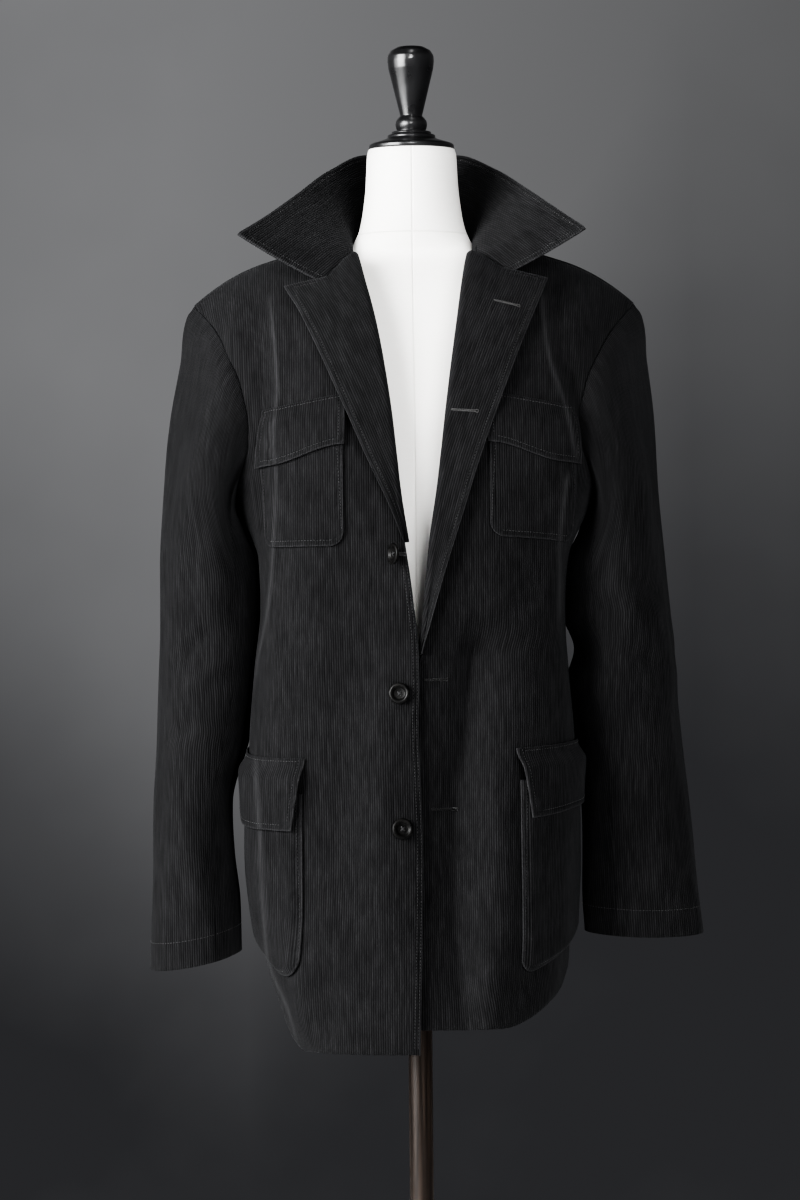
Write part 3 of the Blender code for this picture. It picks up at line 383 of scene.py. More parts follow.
# Creases of the body, by X and height
BODY_FOLDS = {
    Face.FRONT: [
        Crease(0.0016, 0.0042, (
            (1.318, -0.143), (1.21, -0.134), (1.156, -0.138), (1.117, -0.136), (1.054, -0.139),
            (1.0, -0.1445), (0.941, -0.156), (0.88, -0.166),
        )),
        Crease(-0.0042, 0.012, ((1.322, -0.159), (1.21, -0.1495), (1.117, -0.151), (1.02, -0.156))),
        Crease(0.002, 0.006, (
            (0.862, -0.16), (0.77, -0.155), (0.65, -0.149), (0.6, -0.129), (0.54, -0.112),
        )),
        Crease(0.0016, 0.0056, ((1.312, 0.125), (1.245, 0.131), (1.189, 0.1475), (1.12, 0.161))),
        Crease(-0.0036, 0.012, ((1.316, 0.14), (1.245, 0.146), (1.189, 0.163), (1.13, 0.176))),
        Crease(0.0022, 0.0064, ((1.13, 0.15), (1.054, 0.141), (0.96, 0.139))),
        Crease(-0.0215, 0.026, (
            (0.99, 0.062), (0.863, 0.046), (0.77, 0.033), (0.677, 0.035), (0.54, 0.049),
        )),
        *folded(
            (-0.178, 1.31, -0.171, 1.14, 0.0034, 0.01), (-0.118, 1.29, -0.112, 1.19, -0.0018, 0.013),
            (0.084, 0.98, 0.078, 0.54, 0.005, 0.02), (0.066, 0.7, 0.064, 0.5, 0.005, 0.013),
            (0.098, 0.68, 0.104, 0.53, -0.0034, 0.015), (-0.068, 1.02, -0.078, 0.62, -0.006, 0.026),
            (-0.034, 0.96, -0.036, 0.58, 0.003, 0.016), (-0.11, 0.7, -0.12, 0.52, 0.004, 0.014),
            (-0.086, 0.68, -0.094, 0.54, -0.0026, 0.012), (-0.1, 1.03, -0.06, 0.985, -0.0016, 0.012),
            (0.125, 1.02, 0.085, 0.975, -0.0018, 0.011),
        ),
    ],
    Face.BACK: folded(
        (-0.112, 1.24, -0.096, 0.93, -0.0042, 0.015), (-0.085, 1.2, -0.074, 0.98, 0.0026, 0.013),
        (0.12, 1.225, 0.101, 0.96, -0.0038, 0.014), (0.09, 1.15, 0.082, 0.9, 0.0024, 0.015),
        (-0.07, 0.94, -0.086, 0.64, 0.004, 0.019), (-0.03, 0.88, -0.036, 0.62, -0.0028, 0.016),
        (0.052, 0.93, 0.063, 0.64, -0.0036, 0.017), (0.096, 0.9, 0.111, 0.64, 0.0034, 0.018),
        (-0.06, 1.015, 0.048, 1.005, -0.0018, 0.01), (-0.09, 0.985, 0.02, 0.972, -0.0022, 0.012),
        (-0.055, 1.325, 0.06, 1.322, -0.0018, 0.009),
    ),
}

# Creases of the sleeves, by metres round from the underarm over the front, and height
SLEEVE_FOLDS = {
    Side.RIGHT: folded(
        (0.02, 1.11, 0.02, 1.015, 0.005, 0.026), (0.0, 1.06, 0.0, 0.89, -0.004, 0.034),
        (0.0, 0.884, 0.0, 0.866, 0.0022, 0.014), (0.14, 1.23, 0.138, 0.76, -0.0016, 0.006),
        (0.068, 0.985, 0.128, 0.93, -0.0034, 0.009), (0.06, 0.945, 0.11, 0.905, 0.0026, 0.0085),
        (0.075, 0.885, 0.14, 0.86, -0.0026, 0.009), (0.092, 1.1, 0.108, 0.98, -0.0024, 0.011),
        (0.2, 0.99, 0.265, 0.93, -0.003, 0.01), (0.21, 0.93, 0.275, 0.895, -0.0034, 0.009),
        (0.18, 1.18, 0.205, 1.02, 0.0026, 0.013), (0.09, 0.76, 0.1, 0.66, -0.0018, 0.011),
        (0.235, 0.82, 0.215, 0.69, 0.0022, 0.012),
    ),
    Side.LEFT: folded(
        (0.02, 1.13, 0.02, 1.0, 0.0055, 0.026), (0.0, 0.9, 0.0, 0.78, -0.0008, 0.03),
        (0.082, 1.022, 0.15, 0.998, -0.0036, 0.008), (0.075, 0.995, 0.135, 0.974, 0.0024, 0.008),
        (0.07, 0.955, 0.136, 0.925, -0.0032, 0.009), (0.08, 0.86, 0.13, 0.835, -0.002, 0.009),
        (0.098, 1.16, 0.112, 1.04, -0.0026, 0.011), (0.128, 1.18, 0.14, 1.06, 0.0022, 0.011),
        (0.205, 0.985, 0.27, 0.94, -0.0032, 0.01), (0.215, 0.94, 0.268, 0.905, 0.0024, 0.009),
        (0.075, 0.78, 0.09, 0.69, -0.002, 0.011), (0.13, 0.84, 0.128, 0.7, -0.0016, 0.01),
    ),
}


@dataclass
class Panel:
    """A piece of cloth as a grid of points midway through its thickness.

    Attributes:
        name: the solid that the piece stands for.
        points: places of the grid, rows by columns.
        normals: unit normals out of the cloth's face.
        across: metres across the wales.
        along: metres along the wales.
        edge: metres from the nearest stitched edge.
        wear: how much the cloth is lightened along crease crests, partly for worn nap and partly as painted
            highlight, from 0 to 1, or None where it is not.
        thickness: the cloth's thickness.
        rim: how far the two faces draw in at the borders.
        crisp: whether the borders are seams, with no rounding of their shade.
        seam_angle: degrees from which a crisp piece's edges count as sharp.
    """

    name: str
    points: Array
    normals: Array
    across: Array
    along: Array
    edge: Array
    wear: Array | None = None
    thickness: float = CLOTH
    rim: float = 0.0006
    crisp: bool = False
    seam_angle: float = 40.0

    def flat_size(self) -> tuple[float, float, float]:
        """Width, length and area of the cloth laid flat."""
        first, second = np.diff(self.points, axis=1)[:-1], np.diff(self.points, axis=0)[:, :-1]
        area = float(np.linalg.norm(np.cross(first, second), axis=-1).sum())
        return float(walked(self.points, 1)[:, -1].max()), float(walked(self.points, 0)[-1].max()), area

    def outer(self) -> Array:
        """Points of the cloth's outer face."""
        return self.points + self.normals * (self.thickness / 2.0)

    def line(self, border: Border, inset: float, span: Pair = (0.0, 1.0)) -> Arrays:
        """A line on the outer face, a distance inside one border.

        Args:
            border: the border that it follows.
            inset: its distance from there.
            span: shares of the border's grid where it starts and ends.

        Returns:
            The line's points and the cloth's normals there.
        """
        points, normals = self.outer(), self.normals
        if border in (Border.FIRST_COLUMN, Border.LAST_COLUMN):
            points, normals = points.swapaxes(0, 1), normals.swapaxes(0, 1)
        if border in (Border.LAST_ROW, Border.LAST_COLUMN):
            points, normals = points[::-1], normals[::-1]
        last = points.shape[1] - 1
        chosen = np.arange(round(span[0] * last), round(span[1] * last) + 1)
        depth = walked(points, 0)
        line, facing = np.empty((len(chosen), 3)), np.empty((len(chosen), 3))
        for place, column in enumerate(chosen):
            for axis in range(3):
                line[place, axis] = np.interp(inset, depth[:, column], points[:, column, axis])
                facing[place, axis] = np.interp(inset, depth[:, column], normals[:, column, axis])
        return line, unit(facing)

    def nearest(self, targets: Array) -> Arrays:
        """The outer face's places and normals nearest to target points."""
        points, normals = self.outer().reshape(-1, 3), self.normals.reshape(-1, 3)
        places, facing = np.empty_like(targets), np.empty_like(targets)
        for index, target in enumerate(targets):
            best = int(np.argmin(((points - target) ** 2).sum(axis=1)))
            off = float(np.dot(target - points[best], normals[best]))
            places[index], facing[index] = target - off * normals[best], normals[best]
        return places, facing

    def build(self, material: Material) -> Piece:
        """The closed shell as an object that stands for its solid."""
        rows, columns = self.points.shape[:2]
        count = rows * columns
        index = np.arange(count).reshape(rows, columns)
        border = np.concatenate([index[0, :], index[1:, -1], index[-1, -2::-1], index[-2:0:-1, 0]])
        half = self.normals * (self.thickness / 2.0)
        drawn = self._inward() * self.rim
        middle = self.points.reshape(-1, 3)[border]
        vertices = np.concatenate(
            [(self.points + half + drawn).reshape(-1, 3), (self.points - half + drawn).reshape(-1, 3), middle]
        )
        quads = np.stack([index[:-1, :-1], index[:-1, 1:], index[1:, 1:], index[1:, :-1]], axis=-1)
        quads = quads.reshape(-1, 4)
        after = np.roll(border, -1)
        here = 2 * count + np.arange(len(border))
        there = np.roll(here, -1)
        upper = np.stack([after, border, here, there], axis=-1)
        lower = np.stack([there, here, border + count, after + count], axis=-1)
        faces = np.concatenate([quads, quads[:, ::-1] + count, upper, lower])
        flat = self._unit_map(quads, border)
        middle_row, middle_column = rows // 2, columns // 2
        first = self.points[middle_row + 1, middle_column] - self.points[middle_row, middle_column]
        second = self.points[middle_row, middle_column + 1] - self.points[middle_row, middle_column]
        if np.dot(np.cross(second, first), self.normals[middle_row, middle_column]) < 0:
            faces, flat = faces[:, ::-1], flat[:, ::-1]
        corners = faces.reshape(-1)
        everywhere = np.concatenate([np.arange(count), np.arange(count), border])
        wale = np.stack([self.across.reshape(-1), self.along.reshape(-1)], axis=-1)[everywhere]
        edge = np.stack([self.edge.reshape(-1), (self.across + self.along).reshape(-1)], axis=-1)[everywhere]
        made = add_mesh(f"cloth_{self.name}", vertices, faces, material)
        layers = {"wale": wale[corners], "edge": edge[corners], "OFBake": flat}
        for name, values in layers.items():
            layer = made.data.uv_layers.new(name=name)
            layer.data.foreach_set("uv", values.astype(np.float32).reshape(-1))
        wear = np.zeros(count) if self.wear is None else self.wear.reshape(-1)
        if self.crisp:
            made.data.set_sharp_from_angle(angle=math.radians(self.seam_angle))
        worn = made.data.attributes.new("wear", "FLOAT", "POINT")
        worn.data.foreach_set("value", wear[everywhere].astype(np.float32))
        return made

    def _inward(self) -> Array:
        """Unit steps from the borders towards the panel's middle, nothing elsewhere."""
        steps = np.zeros_like(self.points)
        steps[0] += unit(self.points[1] - self.points[0])
        steps[-1] += unit(self.points[-2] - self.points[-1])
        steps[:, 0] += unit(self.points[:, 1] - self.points[:, 0])
        steps[:, -1] += unit(self.points[:, -2] - self.points[:, -1])
        return steps

    def _unit_map(self, quads: Array, border: Array) -> Array:
        """A map of the whole shell into the unit square: two faces side by side, and the rim above them."""
        wide = walked(self.points, 1).mean(axis=0)
        tall = walked(self.points, 0).mean(axis=1)
        u, v = np.meshgrid(wide / wide[-1], tall / tall[-1])
        if wide[-1] > tall[-1]:
            u, v = v, u
        wide, tall = MAP_FACE
        face = np.stack([MAP_MARGIN + wide * u, MAP_MARGIN + tall * v], axis=-1).reshape(-1, 2)
        outer, inner = face[quads], (face + np.array([MAP_STEP, 0.0]))[quads[:, ::-1]]
        share = np.arange(len(border) + 1) / len(border) * (1.0 - 2.0 * MAP_MARGIN) + MAP_MARGIN
        start, end = share[:-1], share[1:]
        low, middle, high = (np.full(len(border), level) for level in MAP_RIM)
        strips = [
            np.stack([end, under, start, under, start, over, end, over], axis=-1).reshape(-1, 4, 2)
            for under, over in ((low, middle), (middle, high))
        ]
        return np.concatenate([outer, inner, *strips])


def add_mesh(name: str, vertices: Array, faces: Array | list, material: Material) -> Piece:
    """A named, smoothly shaded object in the scene."""
    mesh = bpy.data.meshes.new(name)
    rims = faces.tolist() if isinstance(faces, np.ndarray) else faces
    mesh.from_pydata(np.asarray(vertices).tolist(), [], rims)
    mesh.shade_smooth()
    mesh.materials.append(material)
    made = bpy.data.objects.new(name, mesh)
    bpy.context.scene.collection.objects.link(made)
    return made


@dataclass
class Body:
    """One side of the jacket's body as a surface: degrees round from the centre front, and levels up.

    Attributes give the heights and the shoulder line in metres, and angles in degrees. Each of the soft
    waves has its count round the body, its pitch up it, its phase and its share of the waves' height.
    """

    side: Side
    low: float = 0.56
    chest: float = 1.1
    hem_reach: float = 0.42
    hem_side: float = 0.64
    side_seam: float = 100.0
    tip_turn: float = 2.2
    neck_point: float = 0.064
    neck_height: float = 1.365
    shoulder_fall: float = 0.322
    tip_start: float = 0.15
    tip_fall: float = 3.9
    hollow_angle: float = 112.0
    hollow_spread: float = 32.0
    overlap_top: float = 0.985
    overlap_ramp: float = 0.03
    overlap_shift: float = 0.0034
    overlap_reach: float = 0.055
    back_neck: float = 1.352
    wave: float = 0.001
    waves: Sequence[Sequence[float]] = ((5, 9.0, 0.7, 1.0), (8, -14.0, 2.1, 0.8), (13, 23.0, 4.0, 0.5))
    calm_start: float = 0.02
    calm_reach: float = 0.25
    quiet_reach: float = 0.04
    face_turn: float = 0.25
    level_rounds: int = 8
    edge_rounds: int = 6
    half_degree: float = 0.5
    cut: Cut = field(init=False)

    def __post_init__(self) -> None:
        """Looks up the side's cut."""
        self.cut = CUTS[self.side]

    def shoulder(self, across: Array) -> Array:
        """Height of the shoulder seam at a distance from the middle."""
        reach = np.maximum(np.abs(across) - self.neck_point, 0.0)
        tip = np.maximum(np.abs(across) - self.tip_start, 0.0)
        return self.neck_height - self.shoulder_fall * reach - self.tip_fall * tip**2

    def tilted(self, angle: Array, level: Array) -> Array:
        """The level that a row of the cloth has at an angle, since its rows follow the hem low down."""
        start, end = self.cut.hem_turn
        rise = eased((angle - start) / (end - start))
        hem = self.cut.hem_front + (self.hem_side - self.cut.hem_front) * rise
        fade = np.clip(1.0 - (level - self.low) / self.hem_reach, 0.0, 1.0) ** 2
        return level + (hem - self.low) * fade

    def half_width(self, level: Array) -> Array:
        """Half the body's width on this side."""
        return BODY(f"half_{self.side.word}", level)

    def slope(self, level: Array) -> Array:
        """The share of the shoulder slope that a level has."""
        return eased((level - self.chest) / (TOP - self.chest))

    def place(self, angle: Array, level: Array) -> Array:
        """Points of the body's surface without its creases."""
        angle, level = np.broadcast_arrays(np.asarray(angle, float), np.asarray(level, float))
        power = 2.0 / BODY("square", level)
        turn = np.radians(angle)
        across = self.half_width(level) * signed_power(np.sin(turn), power)
        behind = np.exp(-(((angle - self.hollow_angle) / self.hollow_spread) ** 2)) * np.sin(turn) ** 2
        across = across - BODY("hollow", level) * behind
        facing = signed_power(np.cos(turn), power)
        depth = np.where(facing > 0, BODY("front", level), BODY("back", level))
        near = 1.0 - eased(np.abs(across) / self.overlap_reach)
        below = eased((self.overlap_top - level) / self.overlap_ramp)
        shift = np.where(facing > 0, -self.side.value * self.overlap_shift * near * below, 0.0)
        fore = BODY("middle", level) - depth * facing - shift
        height = level - self.slope(level) * (TOP - self.shoulder(across))
        return np.stack([self.side.value * across, fore, height], axis=-1)

    def relief(self, angle: Array, points: Array) -> Array:
        """How far the creases and soft waves lift the surface at points of it."""
        across, height = points[..., 0], points[..., 2]
        turn = np.radians(angle)
        facing = np.cos(turn)
        total = np.zeros_like(across)
        for face, creases in BODY_FOLDS.items():
            here = eased(facing * face.value / self.face_turn)
            for fold in creases:
                total = total + fold.relief(across, height) * here
        signed = turn * self.side.value
        waves = sum(
            size * np.sin(count * signed + pitch * height + phase) for count, pitch, phase, size in self.waves
        )
        calm = eased((TOP - self.calm_start - height) / self.calm_reach)
        return total + self.wave * waves * calm

    def worn(self, points: Array) -> Array:
        """How much the front is lightened along the crests of its sharp creases, partly for worn nap and
        partly as painted highlight, at points of it.
        """
        total = np.zeros(points.shape[:-1])
        for fold in BODY_FOLDS[Face.FRONT]:
            if isinstance(fold, Crease):
                total = np.maximum(total, fold.wear(points[..., 0], points[..., 2]))
        return total

    def draped(self, angle: Array, level: Array) -> Array:
        """Points of the body's surface with its creases."""
        base = self.place(angle, level)
        facing = slopes(self.place, angle, np.minimum(level, TOP - 2.0 * RISE_STEP), self.side.value)
        quiet = eased((TOP - level) / self.quiet_reach)
        return base + facing * (self.relief(angle, base) * quiet)[..., None]

    def surface(self, angle: Array, level: Array) -> Arrays:
        """Points and outward normals of the body's surface."""
        angle, level = np.broadcast_arrays(np.asarray(angle, float), np.asarray(level, float))
        points = self.draped(angle, level)
        normals = slopes(self.draped, angle, np.minimum(level, TOP - 4.0 * RISE_STEP), self.side.value)
        normals[..., 1] = np.where(level > TOP - TINY, 0.0, normals[..., 1])
        return points, unit(normals)

    def angle_at(self, across: Array, level: Array) -> Array:
        """The angle at which the front's surface lies a distance across from the middle."""
        share = np.clip(np.asarray(across) / self.half_width(level), -1.0, 1.0)
        return np.degrees(np.arcsin(signed_power(share, BODY("square", level) / 2.0)))

    def level_at(self, across: Array, height: Array) -> Array:
        """The level of the point of the front at a distance across and a height."""
        level = np.asarray(height, float)
        for _ in range(self.level_rounds):
            level = height + self.slope(level) * (TOP - self.shoulder(across))
        return np.minimum(level, TOP)

    def front_surface(self, across: Array, height: Array) -> Arrays:
        """Points and normals of the front, by distance across and height."""
        level = self.level_at(across, height)
        return self.surface(self.angle_at(across, level), level)

    def plain_front(self, across: Array, height: Array) -> Arrays:
        """Points and normals of the front without its creases, by distance across and height."""
        level = self.level_at(across, height)
        angle = self.angle_at(across, level)
        facing = slopes(self.place, angle, np.minimum(level, TOP - 4.0 * RISE_STEP), self.side.value)
        return self.place(angle, level), facing

    def edge_angle(self, level: Array) -> Array:
        """The angle of the front's inner edge at each level."""
        across = np.zeros_like(level)
        for _ in range(self.edge_rounds):
            height = level - self.slope(level) * (TOP - self.shoulder(across))
            across = self.side.value * FRONT_EDGE(self.side.word, height)
        return self.angle_at(across, level)

    def seam_inset(self, angle: Array, level: Array, towards: int) -> Array:
        """An angle moved by half a seam gap along its row."""
        ahead, behind = (self.place(angle + step, level) for step in (self.half_degree, -self.half_degree))
        reach = np.linalg.norm(ahead - behind, axis=-1)
        return angle + towards * np.minimum(SEAM / 2.0 / np.maximum(reach, TINY), self.tip_turn)

    def side_angle(self, level: Array, towards: Face) -> Array:
        """The angle of a panel's side seam and armhole edge at each level."""
        hole = ARMHOLE("front" if towards is Face.FRONT else "back", level)
        return self.seam_inset(np.where(level <= UNDERARM, self.side_seam, hole), level, -towards.value)

    def neck_share(self) -> float:
        """The share of the back's upper edge that the neckline takes."""
        return float(self.angle_at(self.neck_point, TOP) / 90.0)

    def back_top(self, share: Array) -> Array:
        """The level of the back's upper edge: the neckline up to the neck point, then the shoulder seam."""
        across = self.half_width(TOP) * np.sin(np.radians(90.0) * share)
        return self.back_neck + (TOP - self.back_neck) * np.minimum(across / self.neck_point, 1.0) ** 2

    def levels(self, lower: int, upper: int) -> Array:
        """Levels of a panel's rows, below and above the underarm."""
        return np.concatenate([np.linspace(self.low, UNDERARM, lower), np.linspace(UNDERARM, TOP, upper)[1:]])


def round_walk(points: Array) -> Array:
    """Level distances walked along the rows of a grid."""
    return walked(points * np.array([1.0, 1.0, 0.0]), 1)


@dataclass
class FrontPanel:
    """A front, from its roll line and front edge to the side seam and the armhole."""

    body: Body
    columns: int = 124
    lower: int = LOWER_ROWS
    upper: int = UPPER_ROWS

    def panel(self) -> Panel:
        """The front's cloth."""
        body = self.body
        level = body.levels(self.lower, self.upper)
        inner, outer = body.edge_angle(level), body.side_angle(level, Face.FRONT)
        angle = inner[:, None] + (outer - inner)[:, None] * even(self.columns)
        points, normals = body.surface(angle, body.tilted(angle, level[:, None]))
        walk = round_walk(points)
        across = walk + body.side.value * points[:, :1, 0]
        edge = np.where(level[:, None] < body.cut.lapel_start, walk, FAR)
        name = f"front_{body.side.word}"
        return Panel(name, points, normals, across, walked(points, 0), edge, body.worn(points))


@dataclass
class BackPanel:
    """A back half, from the centre back seam and the neckline to the side seam and the armhole."""

    body: Body
    neck_columns: int = 26
    shoulder_columns: int = 56
    lower: int = LOWER_ROWS
    upper: int = UPPER_ROWS

    def panel(self) -> Panel:
        """The back's cloth."""
        body = self.body
        neck = body.neck_share()
        shoulder = np.linspace(neck, 1.0, self.shoulder_columns)[1:]
        share = np.concatenate([np.linspace(0.0, neck, self.neck_columns), shoulder])
        level = body.levels(self.lower, self.upper)
        outer = body.side_angle(level, Face.BACK)
        inner = 180.0 - body.angle_at(SEAM / 2.0, level)
        angle = inner[:, None] + (outer - inner)[:, None] * share
        up = np.maximum(level - UNDERARM, 0.0) / (TOP - UNDERARM)
        rows = level[:, None] - up[:, None] * (TOP - body.back_top(share))
        points, normals = body.surface(angle, body.tilted(angle, rows))
        across = round_walk(points)
        return Panel(
            f"back_{body.side.word}", points, normals, across, walked(points, 0), np.full_like(across, FAR)
        )


@dataclass
class LapelPanel:
    """A lapel with its roll, from just clear of the front's edge round to its outer edge."""

    body: Body
    roll_radius: float = 0.0042
    roll_gap: float = 0.0009
    break_radius: float = 0.0024
    break_share: float = 0.33
    lift: float = 0.0106
    top_turn: float = 0.75
    rows: int = 120
    roll_columns: int = 14
    columns: int = 44

    def place(self, share: Array, reach: Array) -> Array:
        """The surface: share from the break up, reach from the roll (below 0) to the outer edge (1)."""
        body, cut = self.body, self.body.cut
        ends = np.array([cut.lapel_start, LAPEL_END])
        start, end = body.place(body.edge_angle(ends), ends)[..., 2]
        roll_height = start + (end - start) * share
        roll = body.side.value * FRONT_EDGE(body.side.word, roll_height)
        edge, tip_height = cut.lapel("across", share), cut.lapel("height", share)
        out = np.clip(reach, 0.0, 1.0)
        across = roll + (edge - roll) * out
        straight = roll_height + (tip_height - roll_height) * out
        past = np.clip((out - cut.notch_share) / (1.0 - cut.notch_share), 0.0, 1.0)
        notch = roll_height - cut.notch_drop * np.clip(out / cut.notch_share, 0.0, 1.0)
        top_line = notch + (tip_height - roll_height + cut.notch_drop) * past
        turned = eased((share - self.top_turn) / (1.0 - self.top_turn))
        height = straight + (top_line - straight) * turned
        points, normals = body.plain_front(across, height)
        bend = np.clip(-reach, 0.0, 1.0) * math.pi
        opened = eased(share / self.break_share)
        radius = self.break_radius + (self.roll_radius - self.break_radius) * opened
        flat = 2.0 * radius + (self.lift - 2.0 * radius) * eased(out)
        lift = np.where(reach < 0, radius * (1.0 + np.cos(bend)), flat)
        gap = self.roll_gap * np.clip(-2.0 * reach, 0.0, 1.0)
        towards = np.where(reach < 0, gap + radius * np.sin(bend), 0.0)
        inward = np.zeros_like(points)
        inward[..., 0] = -body.side.value
        return points + normals * lift[..., None] + inward * towards[..., None]

    def panel(self) -> Panel:
        """The lapel's cloth."""
        body = self.body
        roll = np.linspace(-1.0, 0.0, self.roll_columns + 1)[:-1]
        reach = np.concatenate([roll, even(self.columns)])
        share, reach = np.broadcast_arrays(even(self.rows)[:, None], reach[None, :])
        points = self.place(share, reach)
        walk, up = walked(points, 1), walked(points, 0)
        across = walk[:, -1:] - walk
        along = np.broadcast_to(up[:, -1:], walk.shape)
        from_top = np.where(reach > body.cut.notch_share, up[-1:] - up, FAR)
        edge = np.minimum(across, from_top)
        normals = grid_normals(points, body.side.value)
        return Panel(f"lapel_{body.side.word}", points, normals, across, along, edge)


@dataclass
class CollarPanel:
    """The turned-up collar, as one piece from notch to notch."""

    lapels: dict[Side, LapelPanel]
    thickness: float = 0.0028
    gorge_start: float = 0.06
    behind: float = 0.0031
    neck_sink: float = 0.004
    gorge_sink: float = 0.0065
    chest_facing: Triple = (0.0, -0.82, 0.57)
    stand: float = 0.03
    stand_fade: float = 0.75
    lean: float = 0.25
    corner: float = 0.0012
    corner_along: float = 0.03
    corner_up: float = 0.07
    steps: int = 40
    rounds: int = 2
    columns: int = 92
    rows: int = 44

    def neck_line(self, side: Side, share: Array) -> Array:
        """The line that the collar is sewn to, from the centre back round the neck to the lapel's notch."""
        lapel = self.lapels[side]
        body = lapel.body
        around = np.linspace(0.0, body.neck_share(), self.steps)
        back = body.place(180.0 - 90.0 * around, body.back_top(around))
        level = np.linspace(TOP, LAPEL_END, self.steps)[1:]
        front = body.place(body.edge_angle(level), level)
        reach = np.linspace(self.gorge_start, body.cut.notch_share, self.steps)
        gorge = lapel.place(np.ones(self.steps), reach)
        neck = np.concatenate([back, front])
        inward = -unit(neck * np.array([1.0, 1.0, 0.0])) * self.behind - np.array([0.0, 0.0, self.neck_sink])
        tucked = -np.array(self.chest_facing) * self.behind - np.array([0.0, 0.0, self.gorge_sink])
        shift = np.concatenate([inward, np.tile(tucked, (self.steps, 1))])
        line = np.concatenate([np.concatenate([neck, gorge]), shift], axis=-1)
        line = even_line(line, even(self.steps))
        for _ in range(self.rounds):
            line[1:-1] = (line[:-2] + 2.0 * line[1:-1] + line[2:]) / 4.0
        line = even_line(line, share)
        return line[..., :3] + line[..., 3:]

    def place(self, side: Side, share: Array, rise: Array) -> Array:
        """A half: share from the centre back to the notch, rise from the neck seam to the outer edge."""
        seam = self.neck_line(side, share)
        table = self.lapels[side].body.cut.collar
        across, fore, height = (table(column, share) for column in ("across", "fore", "height"))
        edge = np.stack([side.value * across, fore, height], axis=-1)
        stand = seam + np.array([0.0, 0.0, self.stand]) * (1.0 - self.stand_fade * share[..., None] ** 2)
        stand = stand + self.lean * (edge - seam) * np.array([1.0, 1.0, 0.0])
        corner = eased((share - 1.0) / self.corner_along + 1.0)
        corner = corner * eased((rise - 1.0) / self.corner_up + 1.0)
        inward = unit(unit(seam - edge) - np.array([side.value, 0.0, 0.0]))
        rise = rise[..., None]
        leaf = (1 - rise) ** 2 * seam + 2 * rise * (1 - rise) * stand + rise**2 * edge
        return leaf + inward * (self.corner * corner)[..., None]

    def panel(self) -> Panel:
        """The collar's cloth."""
        share, rise = np.broadcast_arrays(
            even(self.columns)[None, :], even(self.rows)[:, None]
        )
        right, left = (self.place(side, share, rise) for side in (Side.RIGHT, Side.LEFT))
        points = np.concatenate([right[:, :0:-1], left], axis=1)
        up, round_way = walked(points, 0), walked(points, 1)
        across = up[-1:] - up
        along = np.broadcast_to(round_way[-1:], up.shape)
        ends = np.minimum(round_way, round_way[:, -1:] - round_way)
        normals = grid_normals(points, 1)
        edge = np.minimum(across, ends)
        return Panel("collar", points, normals, across, along, edge, thickness=self.thickness)


